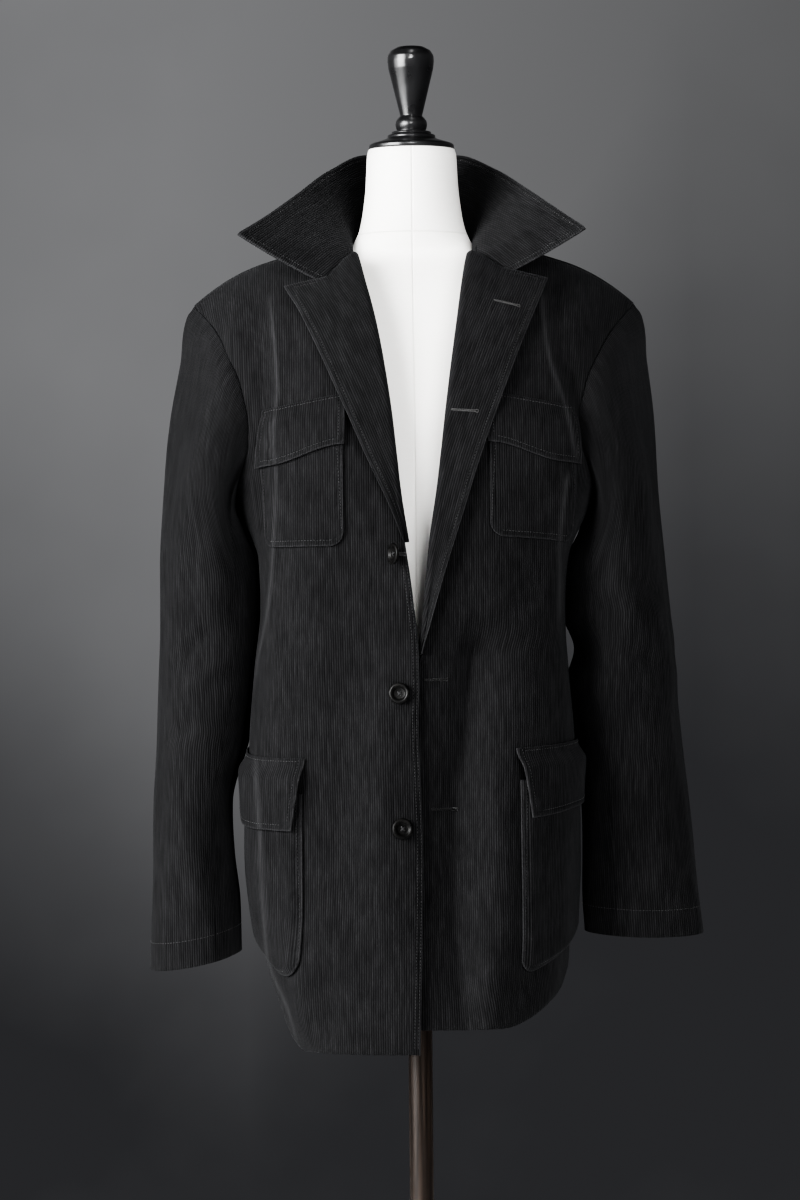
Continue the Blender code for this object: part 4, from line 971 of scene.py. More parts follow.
@dataclass
class Sleeve:
    """A two-piece sleeve, from the armhole to the cuff."""

    body: Body
    cuff_reach: float = 0.12
    cuff_droop: float = 0.005
    round_length: float = 0.33
    front_seam: float = 0.17
    back_seam: float = 0.8
    seam_off: float = 0.0015
    off_under: float = 0.003
    tuck: Sequence[float] = (0.0064, 0.0046, 0.003, 0.0016, 0.0005)
    ease: float = 0.02
    head: float = 0.004
    head_start: float = 0.045
    head_full: float = 0.07
    head_end: float = 0.22
    cap_step: float = 0.002
    start_tip: Triple = (0.3, 0.0, -0.95)
    start_middle: Triple = (0.62, 0.34, -0.72)
    start_under: Triple = (0.12, 0.0, -0.99)
    armhole_steps: int = 60
    rim: float = 0.0001
    cap_rows: int = 62
    rows: int = 92
    top_columns: int = 64
    under_columns: int = 42
    wave_phase: float = 1.3
    wave_start: float = 0.3
    long_wave: Sequence[float] = (0.0009, 3, 31.0, 17.0)
    short_wave: Sequence[float] = (0.0007, 5, 22.0)

    def armhole(self, share: Array) -> Arrays:
        """The sleeve's seam, just clear of the armhole's edge, and the body's normals there.

        Args:
            share: shares from the underarm over the front to the shoulder and down the back.

        Returns:
            Points of the seam, and normals.
        """
        body = self.body
        level = np.linspace(UNDERARM, TOP, self.armhole_steps)
        lines = [
            np.concatenate(body.surface(ARMHOLE(column, level), level), axis=-1)
            for column in ("front", "back")
        ]
        share = np.asarray(share) % 1.0
        forward = even_line(lines[0], np.minimum(share * 2.0, 1.0))
        backward = even_line(lines[1], np.minimum((1.0 - share) * 2.0, 1.0))
        hole = np.where(share[..., None] <= 0.5, forward, backward)
        edge, facing = hole[..., :3], unit(hole[..., 3:])
        inside = np.concatenate(lines)[:, :3].mean(axis=0) - edge
        inside = unit(inside - facing * (inside * facing).sum(axis=-1, keepdims=True))
        return edge + inside * self.seam_off, facing

    def ring(self, share: Array, height: Array) -> Array:
        """Points of the sleeve's section at heights below the armhole."""
        side, cut = self.body.side.value, self.body.cut
        turn = 2.0 * math.pi * share
        out = -np.cos(turn)
        across = cut.sleeve("across", height) + cut.sleeve("half_width", height) * out
        fore = cut.sleeve("fore", height) - cut.sleeve("half_depth", height) * np.sin(turn)
        low = eased(1.0 - (height - cut.sleeve_span[1]) / self.cuff_reach)
        hang = (cut.cuff_tilt * out + self.cuff_droop * np.sin(turn)) * low
        return np.stack([side * across, fore, height - hang], axis=-1)

    def place(self, share: Array, down: Array) -> Array:
        """The surface without creases: share round from the underarm, down by upper arm (1) to cuff (2)."""
        share, down = np.broadcast_arrays(np.asarray(share, float), np.asarray(down, float))
        side = self.body.side.value
        top_height, cuff_height = self.body.cut.sleeve_span
        turn = 2.0 * math.pi * share
        out = -np.cos(turn)
        tip, under = np.clip(out, 0, 1)[..., None] ** 2, np.clip(-out, 0, 1)[..., None] ** 2
        middle = np.sin(turn)[..., None] ** 2
        way = tip * np.array(self.start_tip) + under * np.array(self.start_under)
        way = way + middle * np.array(self.start_middle)
        way[..., 0] *= side
        way[..., 1] *= -np.sin(turn)
        hole, _ = self.armhole(share)
        hole[..., 0] += side * self.off_under * under[..., 0]
        upper = self.ring(share, np.full(share.shape, top_height))
        span = np.linalg.norm(upper - hole, axis=-1, keepdims=True)
        part = np.clip(down, 0.0, 1.0)[..., None]
        below = self.ring(share, np.full(share.shape, top_height - self.ease))
        leave = part * (1.0 - part) ** 2 * span * way
        arrive = part**2 * (1.0 - part) * span * (upper - below) / self.ease
        cap = hole + eased(part) * (upper - hole) + leave + arrive
        height = top_height + (cuff_height - top_height) * np.clip(down - 1.0, 0.0, 1.0)
        return np.where(down[..., None] <= 1.0, cap, self.ring(share, height))

    def normals(self, place: Place, share: Array, down: Array) -> Array:
        """Outward normals of one of the sleeve's surfaces."""
        inside = np.clip(down, self.cap_step, 2.0 - self.cap_step)
        inside = np.where(np.abs(inside - 1.0) < self.cap_step, 1.0 + self.cap_step, inside)
        return slopes(place, share, inside, -self.body.side.value)

    def draped(self, share: Array, down: Array) -> Array:
        """The surface with its creases."""
        share, down = np.broadcast_arrays(np.asarray(share, float), np.asarray(down, float))
        base = self.place(share, down)
        around, height = (share % 1.0) * self.round_length, base[..., 2]
        lift = np.zeros_like(around)
        for fold in SLEEVE_FOLDS[self.body.side]:
            lift = lift + fold.relief(around, height) + fold.relief(around - self.round_length, height)
        turn = 2.0 * math.pi * share
        phase = self.wave_phase * self.body.side.value
        size, count, pitch, beat = self.long_wave
        lift = lift + size * np.sin(count * turn + pitch * height + phase) * np.sin(beat * height - phase)
        size, count, pitch = self.short_wave
        lift = lift + size * np.sin(count * turn - pitch * height + 2.0 * phase)
        lift = lift * eased(down / self.wave_start)
        over = np.clip(-np.cos(turn), 0.0, 1.0)
        fade = 1.0 - eased((down - self.head_full) / (self.head_end - self.head_full))
        lift = lift + self.head * over * eased(down / self.head_start) * fade
        return base + self.normals(self.place, share, down) * lift[..., None]

    def panel(self, name: str, start: float, end: float, columns: int) -> Panel:
        """The cloth between two seams.

        Args:
            name: the panel's part of its piece name.
            start: share round the sleeve where it starts.
            end: share where it ends.
            columns: columns of its grid.

        Returns:
            The panel.
        """
        gap = SEAM / 2.0 / self.round_length
        down = np.concatenate([even(self.cap_rows), np.linspace(1.0, 2.0, self.rows)[1:]])
        share = np.linspace(start + gap, end - gap, columns)[None, :]
        share, down = np.broadcast_arrays(share, down[:, None])
        seam, facing = self.armhole(share[0])
        hidden = np.stack([seam - facing * depth for depth in self.tuck])
        points = np.concatenate([hidden, self.draped(share, down)])
        normals = grid_normals(points, -self.body.side.value)
        walk = walked(points, 1)
        across = walk - walk[:, columns // 2 : columns // 2 + 1]
        name = f"sleeve_{self.body.side.word}_{name}"
        far = np.full_like(walk, FAR)
        return Panel(name, points, normals, across, walked(points, 0), far, rim=self.rim, crisp=True)

    def panels(self) -> list[Panel]:
        """The top and the under sleeve."""
        return [
            self.panel("top", self.front_seam, self.back_seam, self.top_columns),
            self.panel("under", self.back_seam, 1.0 + self.front_seam, self.under_columns),
        ]


@dataclass
class Pocket:
    """A patch pocket with its flap, on a front.

    Attributes give the pocket's place and size, how far its bellows stand proud, and then its flap's.
    """

    name: str
    body: Body
    across: float
    width: float
    top: float
    bottom: float
    corner: float
    proud: float
    tilt: float
    flap_top: float
    flap_depth: float
    flap_point: float
    flap_taper: float
    flap_tilt: float
    flap_flare: float = 0.0
    rim: float = 0.01
    corner_rise: float = 0.25
    row_ease: float = 1.15
    flap_over: float = 0.003
    flap_lift: float = 0.0008
    flap_flat: float = 0.004
    flap_bend: float = 0.018
    flap_dip: float = 0.08
    flap_sweep: float = 0.66
    flap_true: float = 0.7
    walk_end: float = 150.0
    walk_steps: int = 160
    columns: int = 46
    rows: int = 50
    flap_rows: int = 34

    def places(self, start: float, widths: Array, levels: Array) -> Arrays:
        """Angles and levels of a patch: distances along the front's rows, and their levels."""
        body = self.body
        flat = levels.reshape(-1, 1)
        first = body.angle_at(start, flat)
        walk = first + even(self.walk_steps) * (self.walk_end - first)
        length = walked(body.place(walk, body.tilted(walk, flat)), 1)
        angle = [np.interp(width, row, turn) for width, row, turn in zip(widths.reshape(-1), length, walk)]
        angle = np.array(angle).reshape(levels.shape)
        return angle, body.tilted(angle, levels)

    def pocket(self) -> Panel:
        """The pocket's cloth, with rounded lower corners."""
        body = self.body
        wide = self.width * (1.0 - np.cos(np.linspace(0.0, math.pi, self.columns))) / 2.0
        near_end = np.minimum(wide, self.width - wide)
        short = np.maximum(self.corner - near_end, 0.0)
        rise = self.corner - np.sqrt(self.corner**2 - short**2)
        bottom = body.level_at(self.across, self.bottom) + rise - self.tilt * wide / self.width
        up = even(self.rows)[:, None] ** self.row_ease
        levels = bottom + (body.level_at(self.across, self.top) - bottom) * up
        widths = np.broadcast_to(wide, levels.shape)
        points, normals = body.surface(*self.places(self.across, widths, levels))
        from_edge = np.minimum(near_end, (levels - bottom) + self.corner_rise * rise)
        lift = CLOTH + LAY + self.proud * eased(from_edge / self.rim)
        points = points + normals * lift[..., None]
        edge = np.minimum(near_end, levels - bottom)
        name = f"{self.name}_pocket_{body.side.word}"
        return Panel(name, points, normals, widths + self.across, levels, edge, body.worn(points))

    def flap(self) -> Panel:
        """The flap's cloth, its lower edge shaped and standing a little further off."""
        body = self.body
        wide = even(self.columns)
        depth = self.flap_depth + self.flap_point * eased((wide - self.flap_dip) / self.flap_sweep)
        down = even(self.flap_rows)[:, None]
        levels = body.level_at(self.across, self.flap_top) - self.flap_tilt * wide - depth * down
        taper = self.flap_taper * down
        flare = self.flap_flare * (down - self.flap_true)
        widths = taper + (self.width + 2.0 * self.flap_over - 2.0 * taper + flare) * wide
        points, normals = body.surface(*self.places(self.across - self.flap_over, widths, levels))
        bent = eased((depth * down - self.flap_flat) / self.flap_bend) * (self.proud + CLOTH + LAY)
        lift = CLOTH + LAY + bent + self.flap_lift * down
        points = points + normals * lift[..., None]
        side_edge = np.minimum(wide, 1.0 - wide) * self.width
        edge = np.minimum(side_edge, depth * (1.0 - down))
        across = widths + self.across - self.flap_over
        name = f"{self.name}_flap_{body.side.word}"
        return Panel(name, points, normals, across, levels, edge, body.worn(points))


@dataclass
class Stitches:
    """Rows of topstitching, each stitch a short spindle that dips into the cloth at its ends."""

    pitch: float = 0.0032
    length: float = 0.0025
    radius: float = 0.00028
    lift: float = 0.00012
    first: float = 0.001
    shares: Sequence[float] = (0.0, 0.22, 0.78, 1.0)
    sides: int = 4
    vertices: list[Array] = field(default_factory=list)

    def sew(self, line: Arrays) -> None:
        """Adds a row of stitches along a line of points with the cloth's normals."""
        points, normals = line
        length = walked(points, 0)
        starts = np.arange(self.first, length[-1] - self.length, self.pitch)
        where = starts[:, None] + np.array(self.shares) * self.length
        spot = np.stack([np.interp(where, length, points[:, axis]) for axis in range(3)], axis=-1)
        up = unit(np.stack([np.interp(where, length, normals[:, axis]) for axis in range(3)], axis=-1))
        along = unit(spot[:, -1:] - spot[:, :1])
        beside = np.cross(up, along)
        ends = spot - up * self.radius
        middle = spot + up * self.lift
        rings = []
        for ring in (1, 2):
            for cosine, sine in circle(self.sides):
                way = beside[:, ring] * cosine + up[:, ring] * sine
                rings.append(middle[:, ring] + way * self.radius)
        self.vertices.append(np.stack([ends[:, 0], *rings, ends[:, 3]], axis=1))

    def build(self, name: str, material: Material) -> Piece:
        """All rows so far as one object."""
        stitches = np.concatenate(self.vertices)
        near = [(1 + side, 1 + (side + 1) % self.sides) for side in range(self.sides)]
        far = [(here + self.sides, there + self.sides) for here, there in near]
        last = 2 * self.sides + 1
        pattern = [(0, there, here) for here, there in near]
        pattern += [(*front, *back[::-1]) for front, back in zip(near, far)]
        pattern += [(here, there, last) for here, there in far]
        starts = range(0, (last + 1) * len(stitches), last + 1)
        faces = [tuple(corner + start for corner in face) for start in starts for face in pattern]
        return add_mesh(name, stitches.reshape(-1, 3), faces, material)


class Nodes:
    """A material's node tree, with short calls for the nodes that the finishes use.

    Args:
        name: the material's name.
    """

    def __init__(self, name: str) -> None:
        """Makes the material with its shader."""
        self.material = bpy.data.materials.new(name)
        self.material.use_nodes = True
        self.tree = self.material.node_tree
        self.shader = self.tree.nodes["Principled BSDF"]

    def feed(self, socket: Socket, value: object) -> None:
        """Links an output to a socket, or sets the socket's own value."""
        if isinstance(value, Socket):
            self.tree.links.new(value, socket)
        else:
            socket.default_value = value

    def set(self, **values: object) -> None:
        """Sets or links the shader's inputs, named with underscores for spaces."""
        for name, value in values.items():
            self.feed(self.shader.inputs[name.replace("_", " ")], value)

    def add(self, kind: str, *inputs: object, **settings: object) -> bpy.types.Node:
        """A node with its settings and its first inputs."""
        node = self.tree.nodes.new(kind)
        for key, value in settings.items():
            setattr(node, key, value)
        for socket, value in zip(node.inputs, inputs):
            self.feed(socket, value)
        return node

    def math(self, operation: str, *values: object) -> Socket:
        """The result of a calculation."""
        return self.add("ShaderNodeMath", *values, operation=operation).outputs[0]

    def point(self, x: object, y: object, z: object = 0.0) -> Socket:
        """A vector from its parts."""
        return self.add("ShaderNodeCombineXYZ", x, y, z).outputs[0]

    def times(self, *values: object) -> Socket:
        """The product of two or more values."""
        product = values[0]
        for value in values[1:]:
            product = self.math("MULTIPLY", product, value)
        return product

    def bell(self, value: Socket, centre: float, width: float) -> Socket:
        """1 where a value meets a centre, falling to 0 on both sides over a width."""
        off = self.math("DIVIDE", self.math("SUBTRACT", value, centre), width)
        return self.math("EXPONENT", self.times(off, off, -1.0))

    def scaled(self, parts: Sequence[object], scales: Sequence[float]) -> Socket:
        """A vector from its parts, each with its own scale."""
        return self.point(*(self.times(part, scale) for part, scale in zip(parts, scales)))

    def parts(self, vector: Socket) -> list[Socket]:
        """The parts of a vector."""
        return list(self.add("ShaderNodeSeparateXYZ", vector).outputs)

    def map(self, name: str) -> list[Socket]:
        """The two coordinates of a map of the mesh."""
        return self.parts(self.add("ShaderNodeUVMap", uv_map=name).outputs[0])[:2]

    def place(self) -> list[Socket]:
        """The surface's place on the object."""
        return self.parts(self.add("ShaderNodeTexCoord").outputs["Object"])

    def noise(self, vector: Socket, scale: float, detail: float = 2.0) -> Socket:
        """Soft noise from 0 to 1."""
        node = self.add("ShaderNodeTexNoise")
        self.feed(node.inputs["Vector"], vector)
        self.feed(node.inputs["Scale"], scale)
        self.feed(node.inputs["Detail"], detail)
        return node.outputs[0]

    def spread(self, value: Socket, low: float, high: float, start: float = 0.0, end: float = 1.0) -> Socket:
        """A value's range from low to high as one from start to end."""
        return self.add("ShaderNodeMapRange", value, low, high, start, end).outputs[0]

    def vary(self, noise: Socket, start: float = 0.0, end: float = 1.0) -> Socket:
        """The middle of a noise's range as one from start to end."""
        return self.spread(noise, *NOISE_MIDDLE, start, end)

    def rough(self, noise: Socket, start: float, end: float) -> None:
        """Lets the roughness follow a noise, from start to end."""
        self.set(Roughness=self.spread(noise, *NOISE_WIDE, start, end))

    def mix(self, share: object, low: object, high: object) -> Socket:
        """A colour between two."""
        node = self.add("ShaderNodeMix", data_type="RGBA")
        for place, value in ((0, share), (6, low), (7, high)):
            if isinstance(value, tuple):
                value = (*value, 1.0)
            self.feed(node.inputs[place], value)
        return node.outputs[2]

    def shade(self, colour: Socket, factor: Socket) -> Socket:
        """A colour made lighter or darker by a factor."""
        node = self.add("ShaderNodeVectorMath", colour, operation="SCALE")
        self.feed(node.inputs["Scale"], factor)
        return node.outputs[0]

    def relief(self, *layers: tuple[Socket, float]) -> None:
        """Gives the surface a relief of layers, each with its height in metres."""
        height = 0.0
        for layer, size in layers:
            height = self.math("MULTIPLY_ADD", layer, size, height)
        node = self.add("ShaderNodeBump")
        self.feed(node.inputs["Distance"], 1.0)
        self.feed(node.inputs["Height"], height)
        self.feed(self.shader.inputs["Normal"], node.outputs[0])


@dataclass(frozen=True)
class Corduroy:
    """Black cotton corduroy: rounded wales with painted shade in their grooves, a worn soft nap with lint,
    crests and edges lightened partly for wear and partly as painted highlight, puckers at its stitching.

    Attributes give heights and distances in metres, noise scales per metre across and along the wales,
    and tones as the range of a factor on the colour.
    """

    slot: str = "corduroy"
    # colour deep in a wale's groove: painted shade that stands in for the wales' self-shadowing
    groove: Triple = (0.0072, 0.0072, 0.0076)
    ridge: Triple = (0.0248, 0.0247, 0.0257)
    # lighter colour for lint specks, and for the worn nap and painted highlight on crests and edges
    worn: Triple = (0.052, 0.052, 0.054)
    sheen_tint: Triple = (0.62, 0.63, 0.66)
    pitch: float = 0.0023
    sway: float = 0.0016
    sway_scale: Pair = (22.0, 9.0)
    wale_round: float = 0.9
    wale_height: float = 0.0005
    single_scale: Pair = (7.31, 36.0)
    single_tone: Pair = (0.7, 1.3)
    nap_scale: Pair = (620.0, 380.0)
    nap_tone: Pair = (0.5, 1.0)
    nap_height: float = 0.0001
    patch_scale: Pair = (120.0, 60.0)
    patch_tone: Pair = (0.88, 1.12)
    patch_height: float = 0.0003
    broad_scale: float = 17.0
    broad_tone: Pair = (0.9, 1.1)
    lint_scale: float = 950.0
    lint_range: Pair = (0.725, 0.8)
    lint_share: float = 0.7
    rim_reach: float = 0.0024
    rim_share: float = 0.75
    crest_share: float = 0.42
    roughness: Pair = (0.8, 0.98)
    stitch_line: float = 0.006
    dip_width: float = 0.0011
    dip_height: float = -0.00045
    pucker_scale: Pair = (170.0, 40.0)
    pucker_reach: Pair = (0.004, 0.012)
    pucker_height: float = 0.0016

    def material(self) -> Material:
        """The finish as a material."""
        nodes = Nodes(self.slot)
        flat = u, v = nodes.map("wale")
        edge, run = nodes.map("edge")
        sway = nodes.noise(nodes.scaled(flat, self.sway_scale), 1.0, 1.0)
        wales = nodes.math("DIVIDE", nodes.math("MULTIPLY_ADD", sway, self.sway, u), self.pitch)
        off = nodes.math("ABSOLUTE", nodes.math("MULTIPLY_ADD", nodes.math("FRACT", wales), 2.0, -1.0))
        wale = nodes.math("SUBTRACT", 1.0, nodes.math("POWER", off, self.wale_round))
        single = nodes.noise(nodes.scaled((nodes.math("FLOOR", wales), v), self.single_scale), 1.0, 2.0)
        nap = nodes.noise(nodes.scaled(flat, self.nap_scale), 1.0, 3.0)
        patch = nodes.noise(nodes.scaled(flat, self.patch_scale), 1.0, 3.0)
        broad = nodes.noise(nodes.point(u, v), self.broad_scale, 3.0)
        specks = nodes.noise(nodes.point(u, v), self.lint_scale, 1.0)
        lint = nodes.spread(specks, *self.lint_range, 0.0, self.lint_share)
        # edges are lightened over a short reach, partly for worn nap and partly as painted highlight
        rim = nodes.times(nodes.spread(edge, 0.0, self.rim_reach, self.rim_share, 0.0), nap)
        # crests of the sharp creases are lightened, partly for worn nap and partly as painted highlight
        wear = nodes.add("ShaderNodeAttribute", attribute_name="wear").outputs["Fac"]
        # how far the colour moves to the lighter one: for lint specks, and for wear and painted highlight on
        # crests and edges
        light = nodes.math("MAXIMUM", nodes.math("MAXIMUM", lint, nodes.times(wear, self.crest_share)), rim)
        # each wale runs from its groove colour, which is painted shade, up to the ridge colour
        colour = nodes.mix(nodes.times(wale, nodes.vary(nap, *self.nap_tone)), self.groove, self.ridge)
        tones = ((broad, self.broad_tone), (patch, self.patch_tone), (single, self.single_tone))
        tone = nodes.times(*(nodes.vary(noise, *span) for noise, span in tones))
        nodes.set(Base_Color=nodes.mix(light, nodes.shade(colour, tone), self.worn))
        nodes.rough(nap, *self.roughness)
        nodes.set(Sheen_Weight=0.06, Sheen_Roughness=0.6, Sheen_Tint=(*self.sheen_tint, 1.0))
        nodes.set(Specular_IOR_Level=0.1)
        pucker = nodes.noise(nodes.scaled((run, edge), self.pucker_scale), 1.0, 1.0)
        nodes.relief(
            (wale, self.wale_height),
            (nap, self.nap_height),
            (patch, self.patch_height),
            (nodes.bell(edge, self.stitch_line, self.dip_width), self.dip_height),
            (nodes.times(pucker, nodes.spread(edge, *self.pucker_reach, 1.0, 0.0)), self.pucker_height),
        )
        return nodes.material


@dataclass(frozen=True)
class Linen:
    """A tight off-white linen cover, with a fine weave and sewn seams down its middle and round its neck."""

    slot: str = "linen"
    colour: Triple = (0.8, 0.79, 0.77)
    shade: Triple = (0.7, 0.69, 0.66)
    shade_share: float = 0.9
    thread: float = 0.0009
    thread_height: float = 0.00006
    slub_scale: Triple = (90.0, 1.0, 900.0)
    slub_height: float = 0.00012
    broad_scale: float = 14.0
    neck_seam: float = 1.3655
    seam_width: float = 0.0008
    seam_height: float = -0.0006
    roughness: Pair = (0.75, 0.95)

    def material(self) -> Material:
        """The finish as a material."""
        nodes = Nodes(self.slot)
        x, _, z = place = nodes.place()
        turn = 2.0 * math.pi / self.thread
        weave = nodes.times(*(nodes.math("SINE", nodes.times(part, turn)) for part in (x, z)))
        slub = nodes.noise(nodes.scaled(place, self.slub_scale), 1.0, 2.0)
        broad = nodes.noise(nodes.point(*place), self.broad_scale, 3.0)
        seams = [nodes.bell(part, where, self.seam_width) for part, where in ((x, 0.0), (z, self.neck_seam))]
        seam = nodes.math("MAXIMUM", *seams)
        soiled = nodes.times(slub, broad, self.shade_share)
        dark = nodes.math("MAXIMUM", nodes.times(seam, self.shade_share), soiled)
        nodes.set(Base_Color=nodes.mix(dark, self.colour, self.shade), Sheen_Weight=0.1, Sheen_Roughness=0.5)
        nodes.rough(slub, *self.roughness)
        nodes.relief((weave, self.thread_height), (slub, self.slub_height), (seam, self.seam_height))
        return nodes.material


@dataclass(frozen=True)
class Lacquer:
    """Turned wood in gloss black lacquer, with fine dust and faint turning marks."""

    slot: str = "lacquer"
    low: Triple = (0.009, 0.009, 0.0095)
    high: Triple = (0.02, 0.02, 0.021)
    broad_scale: float = 60.0
    mark_scale: Triple = (0.0, 0.0, 1400.0)
    mark_height: float = 0.00003
    dust_scale: float = 900.0
    dust_range: Pair = (0.7, 0.8)
    roughness: Pair = (0.24, 0.38)

    def material(self) -> Material:
        """The finish as a material."""
        nodes = Nodes(self.slot)
        place = nodes.place()
        broad = nodes.noise(nodes.point(*place), self.broad_scale, 3.0)
        marks = nodes.noise(nodes.scaled(place, self.mark_scale), 1.0, 1.0)
        dust = nodes.spread(nodes.noise(nodes.point(*place), self.dust_scale, 1.0), *self.dust_range)
        nodes.set(Base_Color=nodes.mix(nodes.math("MAXIMUM", broad, dust), self.low, self.high))
        nodes.set(Coat_Weight=0.4, Coat_Roughness=0.2)
        nodes.rough(broad, *self.roughness)
        nodes.relief((marks, self.mark_height))
        return nodes.material


@dataclass(frozen=True)
class DarkWood:
    """Dark stained wood with upright grain under a satin varnish."""

    slot: str = "dark_wood"
    dark: Triple = (0.01, 0.007, 0.0055)
    light: Triple = (0.034, 0.023, 0.017)
    grain_scale: Triple = (330.0, 330.0, 9.0)
    grain_height: float = 0.00006
    pore_scale: Triple = (1500.0, 1500.0, 40.0)
    pore_range: Pair = (0.62, 0.72)
    pore_share: float = 0.7
    pore_height: float = -0.00008
    roughness: Pair = (0.28, 0.42)

    def material(self) -> Material:
        """The finish as a material."""
        nodes = Nodes(self.slot)
        place = nodes.place()
        grain = nodes.noise(nodes.scaled(place, self.grain_scale), 1.0, 4.0)
        pores = nodes.spread(nodes.noise(nodes.scaled(place, self.pore_scale), 1.0, 1.0), *self.pore_range)
        filled = nodes.math("SUBTRACT", 1.0, nodes.times(pores, self.pore_share))
        nodes.set(Base_Color=nodes.mix(nodes.times(nodes.vary(grain), filled), self.dark, self.light))
        nodes.set(Coat_Weight=0.35, Coat_Roughness=0.15)
        nodes.rough(grain, *self.roughness)
        nodes.relief((grain, self.grain_height), (pores, self.pore_height))
        return nodes.material


@dataclass(frozen=True)
class Horn:
    """Polished dark horn with faint clouds."""

    slot: str = "horn"
    dark: Triple = (0.004, 0.004, 0.004)
    light: Triple = (0.011, 0.0105, 0.01)
    cloud_stretch: Triple = (1.0, 0.4, 1.0)
    cloud_scale: float = 190.0
    cloud_range: Pair = (0.35, 0.75)
    cloud_height: float = 0.00002
    roughness: Pair = (0.37, 0.5)

    def material(self) -> Material:
        """The finish as a material."""
        nodes = Nodes(self.slot)
        cloud = nodes.noise(nodes.scaled(nodes.place(), self.cloud_stretch), self.cloud_scale, 3.0)
        nodes.set(Base_Color=nodes.mix(nodes.spread(cloud, *self.cloud_range), self.dark, self.light))
        nodes.set(Specular_IOR_Level=0.24)
        nodes.rough(cloud, *self.roughness)
        nodes.relief((cloud, self.cloud_height))
        return nodes.material


@dataclass(frozen=True)
class Thread:
    """Spun sewing thread."""

    name: str
    dark: Triple
    light: Triple
    strand_scale: float = 1800.0
    strand_height: float = 0.0001
    roughness: Pair = (0.55, 0.8)

    def material(self) -> Material:
        """The finish as a material."""
        nodes = Nodes(self.name)
        strand = nodes.noise(nodes.point(*nodes.place()), self.strand_scale, 2.0)
        nodes.set(Base_Color=nodes.mix(nodes.vary(strand), self.dark, self.light))
        nodes.set(Sheen_Weight=0.2, Sheen_Roughness=0.4)
        nodes.rough(strand, *self.roughness)
        nodes.relief((strand, self.strand_height))
        return nodes.material


DARK_THREAD = Thread("dark_thread", (0.012, 0.012, 0.013), (0.032, 0.032, 0.033))
LIGHT_THREAD = Thread("light_thread", (0.024, 0.024, 0.024), (0.056, 0.056, 0.055))
FAINT_THREAD = Thread("faint_thread", (0.0045, 0.0045, 0.0045), (0.012, 0.012, 0.0125))


def skin(rings: int, sides: int, closed: bool = False) -> list[list[int]]:
    """Faces of a tube of rings of points: its wall, and its two ends unless it closes on itself."""
    index = np.arange(rings * sides).reshape(rings, sides)
    after = np.roll(index, -1, axis=1)
    wall = np.stack([index, after, np.roll(after, -1, axis=0), np.roll(index, -1, axis=0)], axis=-1)
    if closed:
        return wall.reshape(-1, 4).tolist()
    return [*wall[:-1].reshape(-1, 4).tolist(), index[0, ::-1].tolist(), index[-1].tolist()]


@dataclass
class Turned:
    """A solid turned round the Z axis, from a profile of radii and heights that starts and ends on it."""

    profile: Sequence[Pair]
    sides: int = 72
    soften: float = 0.0006
    rounds: int = 4
    most: float = 0.4

    def outline(self) -> list[Pair]:
        """The profile with each corner rounded."""
        points = [np.array(point) for point in self.profile]
        result = [points[0]]
        for before, here, after in zip(points, points[1:], points[2:]):
            short = min(np.linalg.norm(here - before), np.linalg.norm(after - here)) * self.most
            reach = min(self.soften, short)
            start = here + (before - here) / max(np.linalg.norm(before - here), TINY) * reach
            end = here + (after - here) / max(np.linalg.norm(after - here), TINY) * reach
            for share in even(self.rounds):
                result.append((1 - share) ** 2 * start + 2 * share * (1 - share) * here + share**2 * end)
        result.append(points[-1])
        return [tuple(point) for point in result]

    def mesh(self) -> Mesh:
        """The solid's points and faces."""
        rim = self.outline()[1:-1]
        ring = circle(self.sides)
        points = [np.column_stack([ring * radius, np.full(self.sides, height)]) for radius, height in rim]
        vertices = np.concatenate([*points, [[0, 0, self.profile[0][1]], [0, 0, self.profile[-1][1]]]])
        index = np.arange(len(rim) * self.sides).reshape(len(rim), self.sides)
        after = np.roll(index, -1, axis=1)
        faces = np.stack([index[:-1], index[1:], after[1:], after[:-1]], axis=-1).reshape(-1, 4).tolist()
        top = index.size
        for side in range(self.sides):
            faces.append((top, int(index[0, side]), int(after[0, side])))
            faces.append((top + 1, int(after[-1, side]), int(index[-1, side])))
        return vertices, faces

    def build(self, name: str, material: Material) -> Piece:
        """The solid as an object."""
        return add_mesh(name, *self.mesh(), material)


